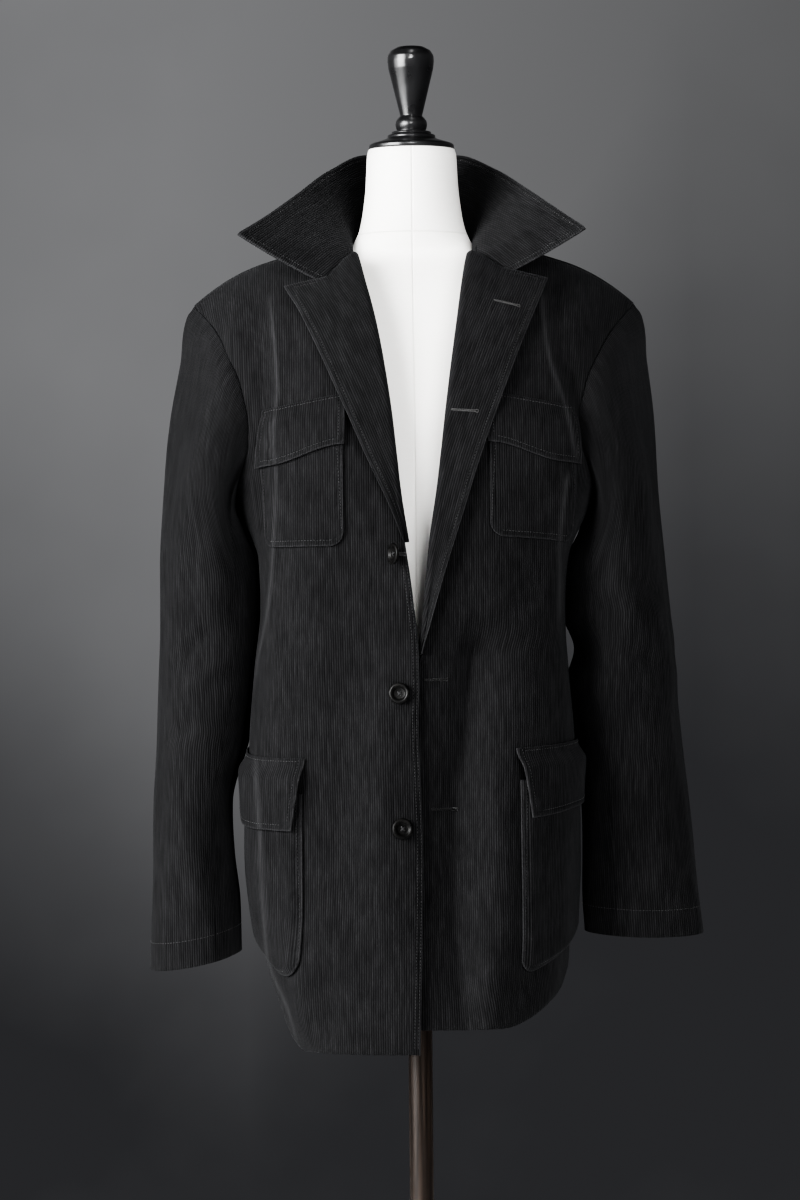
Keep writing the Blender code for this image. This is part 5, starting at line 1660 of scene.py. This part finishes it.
@dataclass
class DressForm:
    """The limbless form, ring by ring from its underside to its neck."""

    sides: int = 96
    steps: int = 150
    tilt_start: float = 1.18
    tilt_end: float = 1.352
    neck: float = 0.052
    shoulder_fall: float = 0.322
    rings: Sequence[Sequence[float]] = (
        (0.7, 0.13, 0.098, 2.3, 0.006), (0.704, 0.134, 0.102, 2.3, 0.006),
        (0.74, 0.137, 0.105, 2.3, 0.006), (0.8, 0.135, 0.104, 2.3, 0.005),
        (0.88, 0.125, 0.098, 2.2, 0.004), (0.96, 0.116, 0.092, 2.2, 0.004),
        (1.02, 0.119, 0.096, 2.2, 0.004), (1.1, 0.137, 0.103, 2.3, 0.005),
        (1.18, 0.15, 0.101, 2.3, 0.008), (1.25, 0.158, 0.089, 2.3, 0.01), (1.3, 0.158, 0.071, 2.3, 0.011),
        (1.325, 0.147, 0.055, 2.2, 0.011), (1.342, 0.11, 0.04, 2.1, 0.008),
        (1.35, 0.076, 0.035, 2.0, 0.004), (1.356, 0.062, 0.036, 2.0, 0.003),
        (1.362, 0.057, 0.038, 2.0, 0.003), (1.372, 0.0525, 0.041, 2.0, 0.003),
        (1.39, 0.049, 0.0445, 2.0, 0.003), (1.415, 0.0462, 0.0455, 2.0, 0.002),
        (1.444, 0.0446, 0.0446, 2.0, 0.001), (1.45, 0.043, 0.043, 2.0, 0.001),
    )

    def build(self, material: Material) -> Piece:
        """The form as an object."""
        table = Table("level half_width half_depth square middle", *self.rings)
        known = table.known
        level = np.interp(np.linspace(0.0, len(known) - 1.0, self.steps), np.arange(len(known)), known)
        cosine, sine = circle(self.sides).T
        power = 2.0 / table("square", level)[:, None]
        across = table("half_width", level)[:, None] * signed_power(sine, power)
        deep = table("half_depth", level)[:, None] * signed_power(cosine, power)
        fore = table("middle", level)[:, None] - deep
        slope = eased((level - self.tilt_start) / (self.tilt_end - self.tilt_start))[:, None]
        height = level[:, None] - slope * self.shoulder_fall * np.maximum(np.abs(across) - self.neck, 0.0)
        vertices = np.stack([across, fore, height], axis=-1).reshape(-1, 3)
        return add_mesh("dress_form", vertices, skin(self.steps, self.sides), material)


@dataclass
class Stand:
    """The knob on the form's neck, the pole under it and the round base."""

    knob: Sequence[Pair] = (
        (0.0, 1.5538), (0.013, 1.5528), (0.0198, 1.549), (0.0228, 1.544), (0.0232, 1.5385),
        (0.0224, 1.531), (0.0108, 1.4836), (0.0132, 1.4815), (0.0153, 1.4785), (0.0159, 1.4748),
        (0.0151, 1.471), (0.0138, 1.4688), (0.0196, 1.4678), (0.0198, 1.4656), (0.0238, 1.4645),
        (0.024, 1.4612), (0.03, 1.459), (0.04, 1.456), (0.0424, 1.4545), (0.0424, 1.4503), (0.0, 1.4503),
    )
    base: Sequence[Pair] = (
        (0.0, 0.058), (0.017, 0.058), (0.02, 0.056), (0.0215, 0.048), (0.029, 0.04), (0.033, 0.03),
        (0.056, 0.026), (0.12, 0.0235), (0.19, 0.0215), (0.206, 0.0185), (0.21, 0.012), (0.21, 0.003),
        (0.207, 0.0), (0.0, 0.0),
    )
    pole_radius: float = 0.012
    pole_top: float = 0.6997
    pole_foot: float = 0.0583
    pole_steps: int = 24
    knob_sides: int = 96
    pole_sides: int = 48
    base_sides: int = 128
    knob_soften: float = 0.0012
    base_soften: float = 0.0015

    def build(self, lacquer: Material, wood: Material) -> dict[str, Piece]:
        """The stand's objects by the solids that they stand for."""
        top, foot, radius = self.pole_top, self.pole_foot, self.pole_radius
        steps = [(radius, height) for height in np.linspace(top, foot, self.pole_steps)]
        pole = [(0.0, top), *steps, (0.0, foot)]
        return {
            "neck_knob": Turned(self.knob, self.knob_sides, self.knob_soften).build("turned_knob", lacquer),
            "stand_pole": Turned(pole, self.pole_sides).build("turned_pole", wood),
            "stand_base": Turned(self.base, self.base_sides, self.base_soften).build("turned_base", wood),
        }


def tube(path: Array, up: Array, radius: Array, sides: int, closed: bool) -> Mesh:
    """A tube along a path.

    Args:
        path: its middle points.
        up: a vector across it at each point.
        radius: its radius at each point.
        sides: sides of its section.
        closed: whether it ends where it starts.

    Returns:
        Its points and faces.
    """
    along = np.roll(path, -1, axis=0) - np.roll(path, 1, axis=0) if closed else np.gradient(path, axis=0)
    beside = unit(np.cross(up, along))
    over = unit(np.cross(along, beside))
    cosine, sine = circle(sides).T[..., None]
    ring = beside[:, None] * cosine + over[:, None] * sine
    vertices = (path[:, None] + ring * radius[:, None, None]).reshape(-1, 3)
    return vertices, skin(len(path), sides, closed)


def joined(parts: Sequence[Mesh]) -> Mesh:
    """Several meshes as one list of points and faces."""
    vertices, faces, start = [], [], 0
    for points, rims in parts:
        vertices.append(points)
        faces += [tuple(int(corner) + start for corner in face) for face in rims]
        start += len(points)
    return np.concatenate(vertices), faces


@dataclass
class Button:
    """A round button with a raised rim, a dished middle and four holes, sewn on with crossed thread."""

    name: str
    across: float
    height: float
    turn: float
    off: float
    sides: int = 64
    soften: float = 0.0009
    sharp_angle: float = 35.0
    hole_radius: float = 0.00085
    hole_off: float = 0.0024
    hole_sides: int = 16
    hole_span: Pair = (-0.001, 0.006)
    thread_radius: float = 0.00045
    thread_sides: int = 8
    thread_steps: int = 14
    thread_apart: float = 0.0003
    thread_sink: float = 0.0006
    thread_rises: Pair = (0.0011, 0.0015)
    shank_sides: int = 12
    shank_steps: int = 6
    shank_ends: Pair = (0.0001, 0.0002)
    shank_radii: Pair = (0.0016, 0.002)
    profile: Sequence[Pair] = (
        (0.0, 0.002), (0.0055, 0.0022), (0.0067, 0.0036), (0.0084, 0.0042), (0.01, 0.0036),
        (0.0105, 0.0024), (0.0084, 0.0), (0.0, 0.0),
    )

    def holes(self) -> Array:
        """The middles of the holes, across the button's face."""
        return np.array([(x, y) for x in (-1, 1) for y in (-1, 1)]) * self.hole_off / math.sqrt(2.0)

    def build(self, body: Body, horn: Material, thread: Material) -> list[Piece]:
        """The button and its thread."""
        made = Turned(self.profile, self.sides, self.soften).build(f"sewn_{self.name}", horn)
        points, faces = self._drill()
        drills = [(points + np.array([*hole, 0.0]), faces) for hole in self.holes()]
        drill = add_mesh("drill", *joined(drills), horn)
        cutter = made.modifiers.new("holes", "BOOLEAN")
        cutter.operation, cutter.object, cutter.solver = "DIFFERENCE", drill, "EXACT"
        bpy.context.view_layer.update()
        cut = bpy.data.meshes.new_from_object(made.evaluated_get(bpy.context.evaluated_depsgraph_get()))
        made.modifiers.clear()
        made.data = cut
        bpy.data.objects.remove(drill, do_unlink=True)
        cut.set_sharp_from_angle(angle=math.radians(self.sharp_angle))
        strands = add_mesh(f"thread_{self.name}", *joined(self._strands()), thread)
        points, normals = body.front_surface(np.array([self.across]), np.array([self.height]))
        facing = Matrix.Rotation(-math.radians(self.turn), 3, "Z") @ Vector(normals[0])
        place = Matrix.Translation(Vector(points[0]) + Vector(normals[0]) * (CLOTH / 2.0 + self.off))
        place = place @ Vector((0.0, 0.0, 1.0)).rotation_difference(facing).to_matrix().to_4x4()
        for piece in (made, strands):
            piece.data.transform(place)
        return [made, strands]

    def _drill(self) -> Mesh:
        """A drill for one hole."""
        ring, sides = circle(self.hole_sides) * self.hole_radius, self.hole_sides
        vertices = np.concatenate([np.column_stack([ring, np.full(sides, z)]) for z in self.hole_span])
        return vertices, skin(len(self.hole_span), sides)

    def _strands(self) -> list[Mesh]:
        """The crossed threads on the face, and the shank behind."""
        holes = self.holes()
        dish = self.profile[1][1]
        strands = []
        share = even(self.thread_steps)[:, None]
        up = np.tile([0.0, 0.0, 1.0], (self.thread_steps, 1))
        radius = np.full(self.thread_steps, self.thread_radius)
        for rise, (start, end) in zip(self.thread_rises, ((holes[0], holes[3]), (holes[1], holes[2]))):
            way = end - start
            beside = np.array([-way[1], way[0]]) / np.linalg.norm(way)
            arch = dish - self.thread_sink + rise * np.sqrt(np.sin(math.pi * share).clip(0.0))
            for shift in (-self.thread_apart, self.thread_apart):
                path = np.column_stack([start + way * share + beside * shift, arch])
                strands.append(tube(path, up, radius, self.thread_sides, False))
        steps, (start, end) = self.shank_steps, self.shank_ends
        shank = np.column_stack([np.zeros((steps, 2)), np.linspace(start, end - self.off, steps)])
        beside = np.tile([1.0, 0.0, 0.0], (steps, 1))
        strands.append(tube(shank, beside, np.linspace(*self.shank_radii, steps), self.shank_sides, False))
        return strands


@dataclass
class Buttonhole:
    """A worked buttonhole: a close cord of thread round a slit, with a round eye at its outer end."""

    name: str
    across: float
    height: float
    tilt: float
    thread: Thread
    length: float = 0.026
    width: float = 0.0014
    eye: float = 0.0019
    eye_start: float = 0.72
    eye_reach: float = 0.22
    squareness: float = 0.35
    cord: float = 0.00055
    cord_sides: int = 8
    cord_steps: int = 220
    cord_lift: float = 0.5
    rib_pitch: float = 0.0008
    rib_share: float = 0.22

    def build(self, panel: Panel, material: Material) -> Piece:
        """The buttonhole's cord on a panel."""
        reach, side = circle(self.cord_steps).T
        start = self.width / 2.0
        half = start + (self.eye - start) * eased((reach - self.eye_start) / self.eye_reach)
        x = reach * self.length / 2.0
        y = half * signed_power(side, self.squareness)
        cosine, sine = math.cos(math.radians(self.tilt)), math.sin(math.radians(self.tilt))
        flat = np.column_stack([x * cosine - y * sine, np.zeros_like(x), x * sine + y * cosine])
        front = panel.outer().reshape(-1, 3)
        near = front[np.argmin((front[:, 0] - self.across) ** 2 + (front[:, 2] - self.height) ** 2)]
        path, normals = panel.nearest(flat + np.array([self.across, near[1], self.height]))
        length = walked(path, 0)
        ribs = np.sin(length / self.rib_pitch * 2.0 * math.pi)
        radius = self.cord * (1.0 + self.rib_share * ribs)
        path = path + normals * self.cord * self.cord_lift
        vertices, faces = tube(path, normals, radius, self.cord_sides, True)
        return add_mesh(self.name, vertices, faces, material)


@dataclass
class Blazer:
    """The whole jacket: cloth, sewing, buttons and buttonholes."""

    edge_inset: float = 0.0022
    flap_inset: float = 0.003
    cuff_inset: float = 0.027
    break_gap: float = 0.02
    bodies: dict[Side, Body] = field(default_factory=lambda: {side: Body(side) for side in Side})
    panels: dict[str, Panel] = field(default_factory=dict)

    def pockets(self) -> list[Pocket]:
        """The four pockets with their flaps."""
        right, left = self.bodies[Side.RIGHT], self.bodies[Side.LEFT]
        return [
            Pocket(
                "chest", right, 0.07, 0.09, 1.166, 1.053, 0.014, 0.0, 0.0,
                1.202, 0.052, 0.013, 0.001, 0.008, 0.011,
            ),
            Pocket(
                "chest", left, 0.072, 0.092, 1.166, 1.062, 0.014, 0.0, 0.006,
                1.203, 0.052, 0.013, 0.001, 0.007, 0.008,
            ),
            Pocket(
                "hip", right, 0.113, 0.15, 0.812, 0.634, 0.018, 0.005, 0.0,
                0.846, 0.071, 0.0, 0.01, -0.004,
            ),
            Pocket(
                "hip", left, 0.097, 0.15, 0.82, 0.614, 0.018, 0.005, 0.0,
                0.852, 0.072, 0.0, 0.01, -0.007,
            ),
        ]

    def buttons(self) -> list[Button]:
        """The three buttons that show."""
        return [
            Button("button_upper", 0.02, 1.0445, 62.0, 0.011),
            Button("button_middle", 0.017, 0.909, 6.0, 0.0012),
            Button("button_lower", 0.016, 0.778, 4.0, 0.0012),
        ]

    def cut(self) -> None:
        """Lays out every panel of cloth."""
        lapels = {}
        made: list[Panel] = []
        for side, body in self.bodies.items():
            lapels[side] = LapelPanel(body)
            made += [FrontPanel(body).panel(), BackPanel(body).panel(), lapels[side].panel()]
            made += Sleeve(body).panels()
        made.append(CollarPanel(lapels).panel())
        for pocket in self.pockets():
            made += [pocket.pocket(), pocket.flap()]
        self.panels = {panel.name: panel for panel in made}

    def sew(self, material: Material) -> list[Piece]:
        """The rows of topstitching."""
        rows: dict[str, list[Arrays]] = {}
        inset = Corduroy.stitch_line
        for side in Side:
            word = side.word
            lapel, front = self.panels[f"lapel_{word}"], self.panels[f"front_{word}"]
            rows[f"stitches_lapel_{word}"] = [
                lapel.line(Border.LAST_COLUMN, inset, (0.02, 0.96)),
                lapel.line(Border.LAST_ROW, inset, (0.62, 0.92)),
            ]
            body = self.bodies[side]
            below = (body.cut.lapel_start - self.break_gap - body.low) / (UNDERARM - body.low)
            below = below * (LOWER_ROWS - 1) / (LOWER_ROWS + UPPER_ROWS - 2)
            rows[f"stitches_front_{word}"] = [
                front.line(Border.FIRST_COLUMN, depth, (0.004, below)) for depth in (inset, self.edge_inset)
            ]
            for piece in ("chest", "hip"):
                pocket, flap = self.panels[f"{piece}_pocket_{word}"], self.panels[f"{piece}_flap_{word}"]
                rows[f"stitches_{piece}_{word}"] = [
                    *(pocket.line(end, inset, (0.1, 1.0)) for end in ENDS),
                    pocket.line(Border.FIRST_ROW, inset, (0.22, 0.78)),
                    flap.line(Border.LAST_ROW, inset, (0.08, 0.92)),
                    *(flap.line(end, inset, (0.0, 0.88)) for end in ENDS),
                    flap.line(Border.FIRST_ROW, self.flap_inset, (0.04, 0.96)),
                ]
            rows[f"stitches_cuff_{word}"] = [
                self.panels[f"sleeve_{word}_{name}"].line(Border.LAST_ROW, self.cuff_inset)
                for name in ("top", "under")
            ]
        collar = self.panels["collar"]
        rows["stitches_collar"] = [
            collar.line(Border.LAST_ROW, inset, (0.03, 0.97)),
            *(collar.line(end, inset, (0.05, 0.93)) for end in ENDS),
        ]
        made = []
        for name, lines in rows.items():
            stitches = Stitches()
            for line in lines:
                stitches.sew(line)
            made.append(stitches.build(name, material))
        return made

    def buttonholes(self) -> list[tuple[str, Buttonhole]]:
        """The buttonholes, with the panel that each is worked in."""
        return [
            ("lapel_left", Buttonhole("buttonhole_lapel", 0.092, 1.29, -10.0, LIGHT_THREAD)),
            ("lapel_left", Buttonhole("buttonhole_roll", 0.049, 1.184, -4.0, LIGHT_THREAD)),
            ("front_left", Buttonhole("buttonhole_middle", 0.0185, 0.922, 0.0, FAINT_THREAD)),
            ("front_left", Buttonhole("buttonhole_lower", 0.023, 0.796, 0.0, FAINT_THREAD)),
        ]


@dataclass
class Studio:
    """The camera at the photograph's angle, soft lights, a glowing wall with painted light and shade, and a
    pale floor.

    Attributes give lengths in metres and the roll in degrees. Each bend of the wall's painted shading has the
    X where it starts and ends, and how far it raises the shade.
    """

    distance: float = 4.5
    level: float = 1.0
    half_view: float = 0.6
    shift_across: float = -0.016
    roll: float = 0.57
    sensor: float = 36.0
    exposure: float = 0.6
    wall_radius: float = 12.0
    wall_levels: Pair = (-6.0, 9.0)
    wall_sides: int = 96
    wall_left: Triple = (0.128, 0.1285, 0.1315)
    wall_right: Triple = (0.086, 0.0863, 0.088)
    wall_low: Triple = (0.033, 0.0333, 0.0355)
    wall_span: Pair = (-0.85, 1.58)
    wall_fall: Pair = (2.265, -0.8)
    wall_bends: Sequence[Triple] = ((-1.478, -0.59, 0.532), (-0.59, 1.06, -1.52), (1.06, 1.397, 0.24))
    paint_scale: float = 0.7
    paint_share: float = 0.08
    floor_radius: float = 2.4
    floor_sides: int = 96
    floor_level: float = -0.0005
    floor_tones: Pair = (0.52, 0.58)
    floor_scale: float = 3.0
    spot_radius: float = 0.3
    night: float = 0.008

    def camera(self) -> None:
        """Sets up the camera, level with the jacket's chest."""
        data = bpy.data.cameras.new("camera")
        data.sensor_width = self.sensor
        data.lens = self.sensor / 2.0 * self.distance / self.half_view
        camera = bpy.data.objects.new("camera", data)
        camera.location = (self.shift_across, -self.distance, self.level)
        camera.rotation_euler = (math.pi / 2.0, math.radians(self.roll), 0.0)
        bpy.context.scene.collection.objects.link(camera)
        bpy.context.scene.camera = camera

    def hang(self, data: bpy.types.Light, place: Vector, target: Vector) -> Piece:
        """Puts a light in the scene, facing a target."""
        lamp = bpy.data.objects.new(data.name, data)
        lamp.location = place
        lamp.rotation_euler = (target - place).to_track_quat("-Z", "Y").to_euler()
        bpy.context.scene.collection.objects.link(lamp)
        return lamp

    def light(self, name: str, place: Vector, size: float, power: float, shine: bool = True) -> None:
        """Adds a soft square light that faces the jacket, with or without shine on gloss."""
        data = bpy.data.lights.new(name, "AREA")
        data.size, data.energy = size, power
        lamp = self.hang(data, place, Vector((0.0, 0.0, self.level)))
        lamp.visible_camera = False
        lamp.visible_glossy = shine

    def spot(self, name: str, place: Vector, target: Vector, angle: float, power: float) -> None:
        """Adds a soft spot light of a full angle in degrees."""
        data = bpy.data.lights.new(name, "SPOT")
        data.energy, data.spot_size, data.spot_blend = power, math.radians(angle), 1.0
        data.shadow_soft_size = self.spot_radius
        self.hang(data, place, target)

    def floor(self) -> None:
        """Adds a round pale floor with a little unevenness of tone."""
        nodes = Nodes("floor")
        low, high = ((tone, tone, tone) for tone in self.floor_tones)
        paint = nodes.noise(nodes.point(*nodes.place()), self.floor_scale)
        nodes.set(Base_Color=nodes.mix(paint, low, high), Roughness=0.9)
        ring = circle(self.floor_sides) * self.floor_radius
        rim = np.column_stack([ring, np.full(self.floor_sides, self.floor_level)])
        add_mesh("floor", rim, [tuple(range(self.floor_sides))], nodes.material)

    def backdrop(self) -> None:
        """Adds a grey wall all round that glows, its glow painted lighter on the left and above and darker
        low down.
        """
        nodes = Nodes("backdrop")
        x, _, z = place = nodes.place()
        paint = nodes.noise(nodes.point(*place), self.paint_scale, 4.0)
        height = z
        # the bends and the fall paint the wall's shade: darker low down, with the dark line sloping across
        for start, end, rise in self.wall_bends:
            height = nodes.math("ADD", height, nodes.spread(x, start, end, 0.0, rise))
        fall = nodes.spread(height, *self.wall_fall)
        soft = nodes.times(fall, fall, nodes.math("MULTIPLY_ADD", fall, -2.0, 3.0))
        share = nodes.math("ADD", soft, nodes.vary(paint, -self.paint_share, self.paint_share))
        above = nodes.mix(nodes.spread(x, *self.wall_span), self.wall_left, self.wall_right)
        colour = nodes.mix(share, above, self.wall_low)
        # black under its glow: the wall shows only its emission, which is painted light and shade
        nodes.set(Base_Color=(0.0, 0.0, 0.0, 1.0), Roughness=1.0, Specular_IOR_Level=0.0)
        nodes.set(Emission_Color=colour, Emission_Strength=1.0)
        ring = circle(self.wall_sides) * self.wall_radius
        low, high = (np.column_stack([ring, np.full(self.wall_sides, level)]) for level in self.wall_levels)
        sides = [face[::-1] for face in skin(2, self.wall_sides)[:-2]]
        add_mesh("backdrop", np.concatenate([low, high]), sides, nodes.material)

    def build(self) -> None:
        """Sets up the whole studio."""
        self.camera()
        self.backdrop()
        self.light("key", Vector((-2.8, -2.3, 1.9)), 2.2, 200.0)
        self.light("side", Vector((-3.3, -0.9, 1.5)), 1.6, 25.0)
        self.light("fill", Vector((1.6, -4.1, 1.2)), 2.6, 132.0, False)
        self.light("back", Vector((0.0, 4.0, 1.0)), 1.6, 170.0, False)
        self.spot("collar", Vector((0.1, -0.7, 3.2)), Vector((0.0, 0.0, 1.4)), 11.0, 40.0)
        self.spot("neck", Vector((0.0, -3.4, 2.3)), Vector((0.0, 0.0, 1.42)), 7.0, 380.0)
        self.floor()
        world = bpy.data.worlds.new("studio")
        world.use_nodes = True
        colour = (self.night, self.night, self.night, 1.0)
        world.node_tree.nodes["Background"].inputs["Color"].default_value = colour
        bpy.context.scene.world = world
        view = bpy.context.scene.view_settings
        view.view_transform, view.look = "AgX", "AgX - Very High Contrast"
        view.exposure = self.exposure


def enlist(piece: Piece, slot: str, *nodes: str) -> None:
    """Makes a piece ride with the part and hides the solids that it stands for."""
    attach(piece, "root")
    if nodes:
        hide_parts(*nodes)
    LOG.info("%s: %d faces", piece.name, len(piece.data.polygons))


HANGS = {
    "front": ("draped", ["dress_form"]),
    "back": ("draped", ["dress_form"]),
    "lapel": ("folded", ["cloth_front_{side}"]),
    "collar": ("folded", ["cloth_back_right", "cloth_back_left"]),
    "sleeve": ("hung", ["cloth_front_{side}", "cloth_back_{side}"]),
    "chest": ("laid", ["cloth_front_{side}"]),
    "hip": ("laid", ["cloth_front_{side}"]),
}


def main() -> None:
    """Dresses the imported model."""
    logging.basicConfig(level=logging.INFO, format="%(message)s")
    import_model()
    Studio().build()
    corduroy, linen, lacquer, wood, horn = Corduroy(), Linen(), Lacquer(), DarkWood(), Horn()
    cloth = corduroy.material()
    enlist(DressForm().build(linen.material()), linen.slot, "form_torso")
    for node, piece in Stand().build(lacquer.material(), wood.material()).items():
        enlist(piece, lacquer.slot if node == "neck_knob" else wood.slot, node)
    blazer = Blazer()
    blazer.cut()
    for name, panel in blazer.panels.items():
        piece = panel.build(cloth)
        enlist(piece, corduroy.slot, name)
        held, rests_on = HANGS[name.split("_")[0]]
        side = "right" if "right" in name else "left"
        width, length, area = panel.flat_size()
        rests_on = [rest.format(side=side) for rest in rests_on]
    polished = horn.material()
    threads = {thread: thread.material() for thread in (DARK_THREAD, LIGHT_THREAD, FAINT_THREAD)}
    for piece in blazer.sew(threads[DARK_THREAD]):
        enlist(piece, corduroy.slot)
    for button in blazer.buttons():
        made, strands = button.build(blazer.bodies[Side.RIGHT], polished, threads[DARK_THREAD])
        enlist(made, horn.slot, button.name)
        enlist(strands, corduroy.slot)
    for name, hole in blazer.buttonholes():
        enlist(hole.build(blazer.panels[name], threads[hole.thread]), corduroy.slot)


if __name__ == "__main__":
    main()
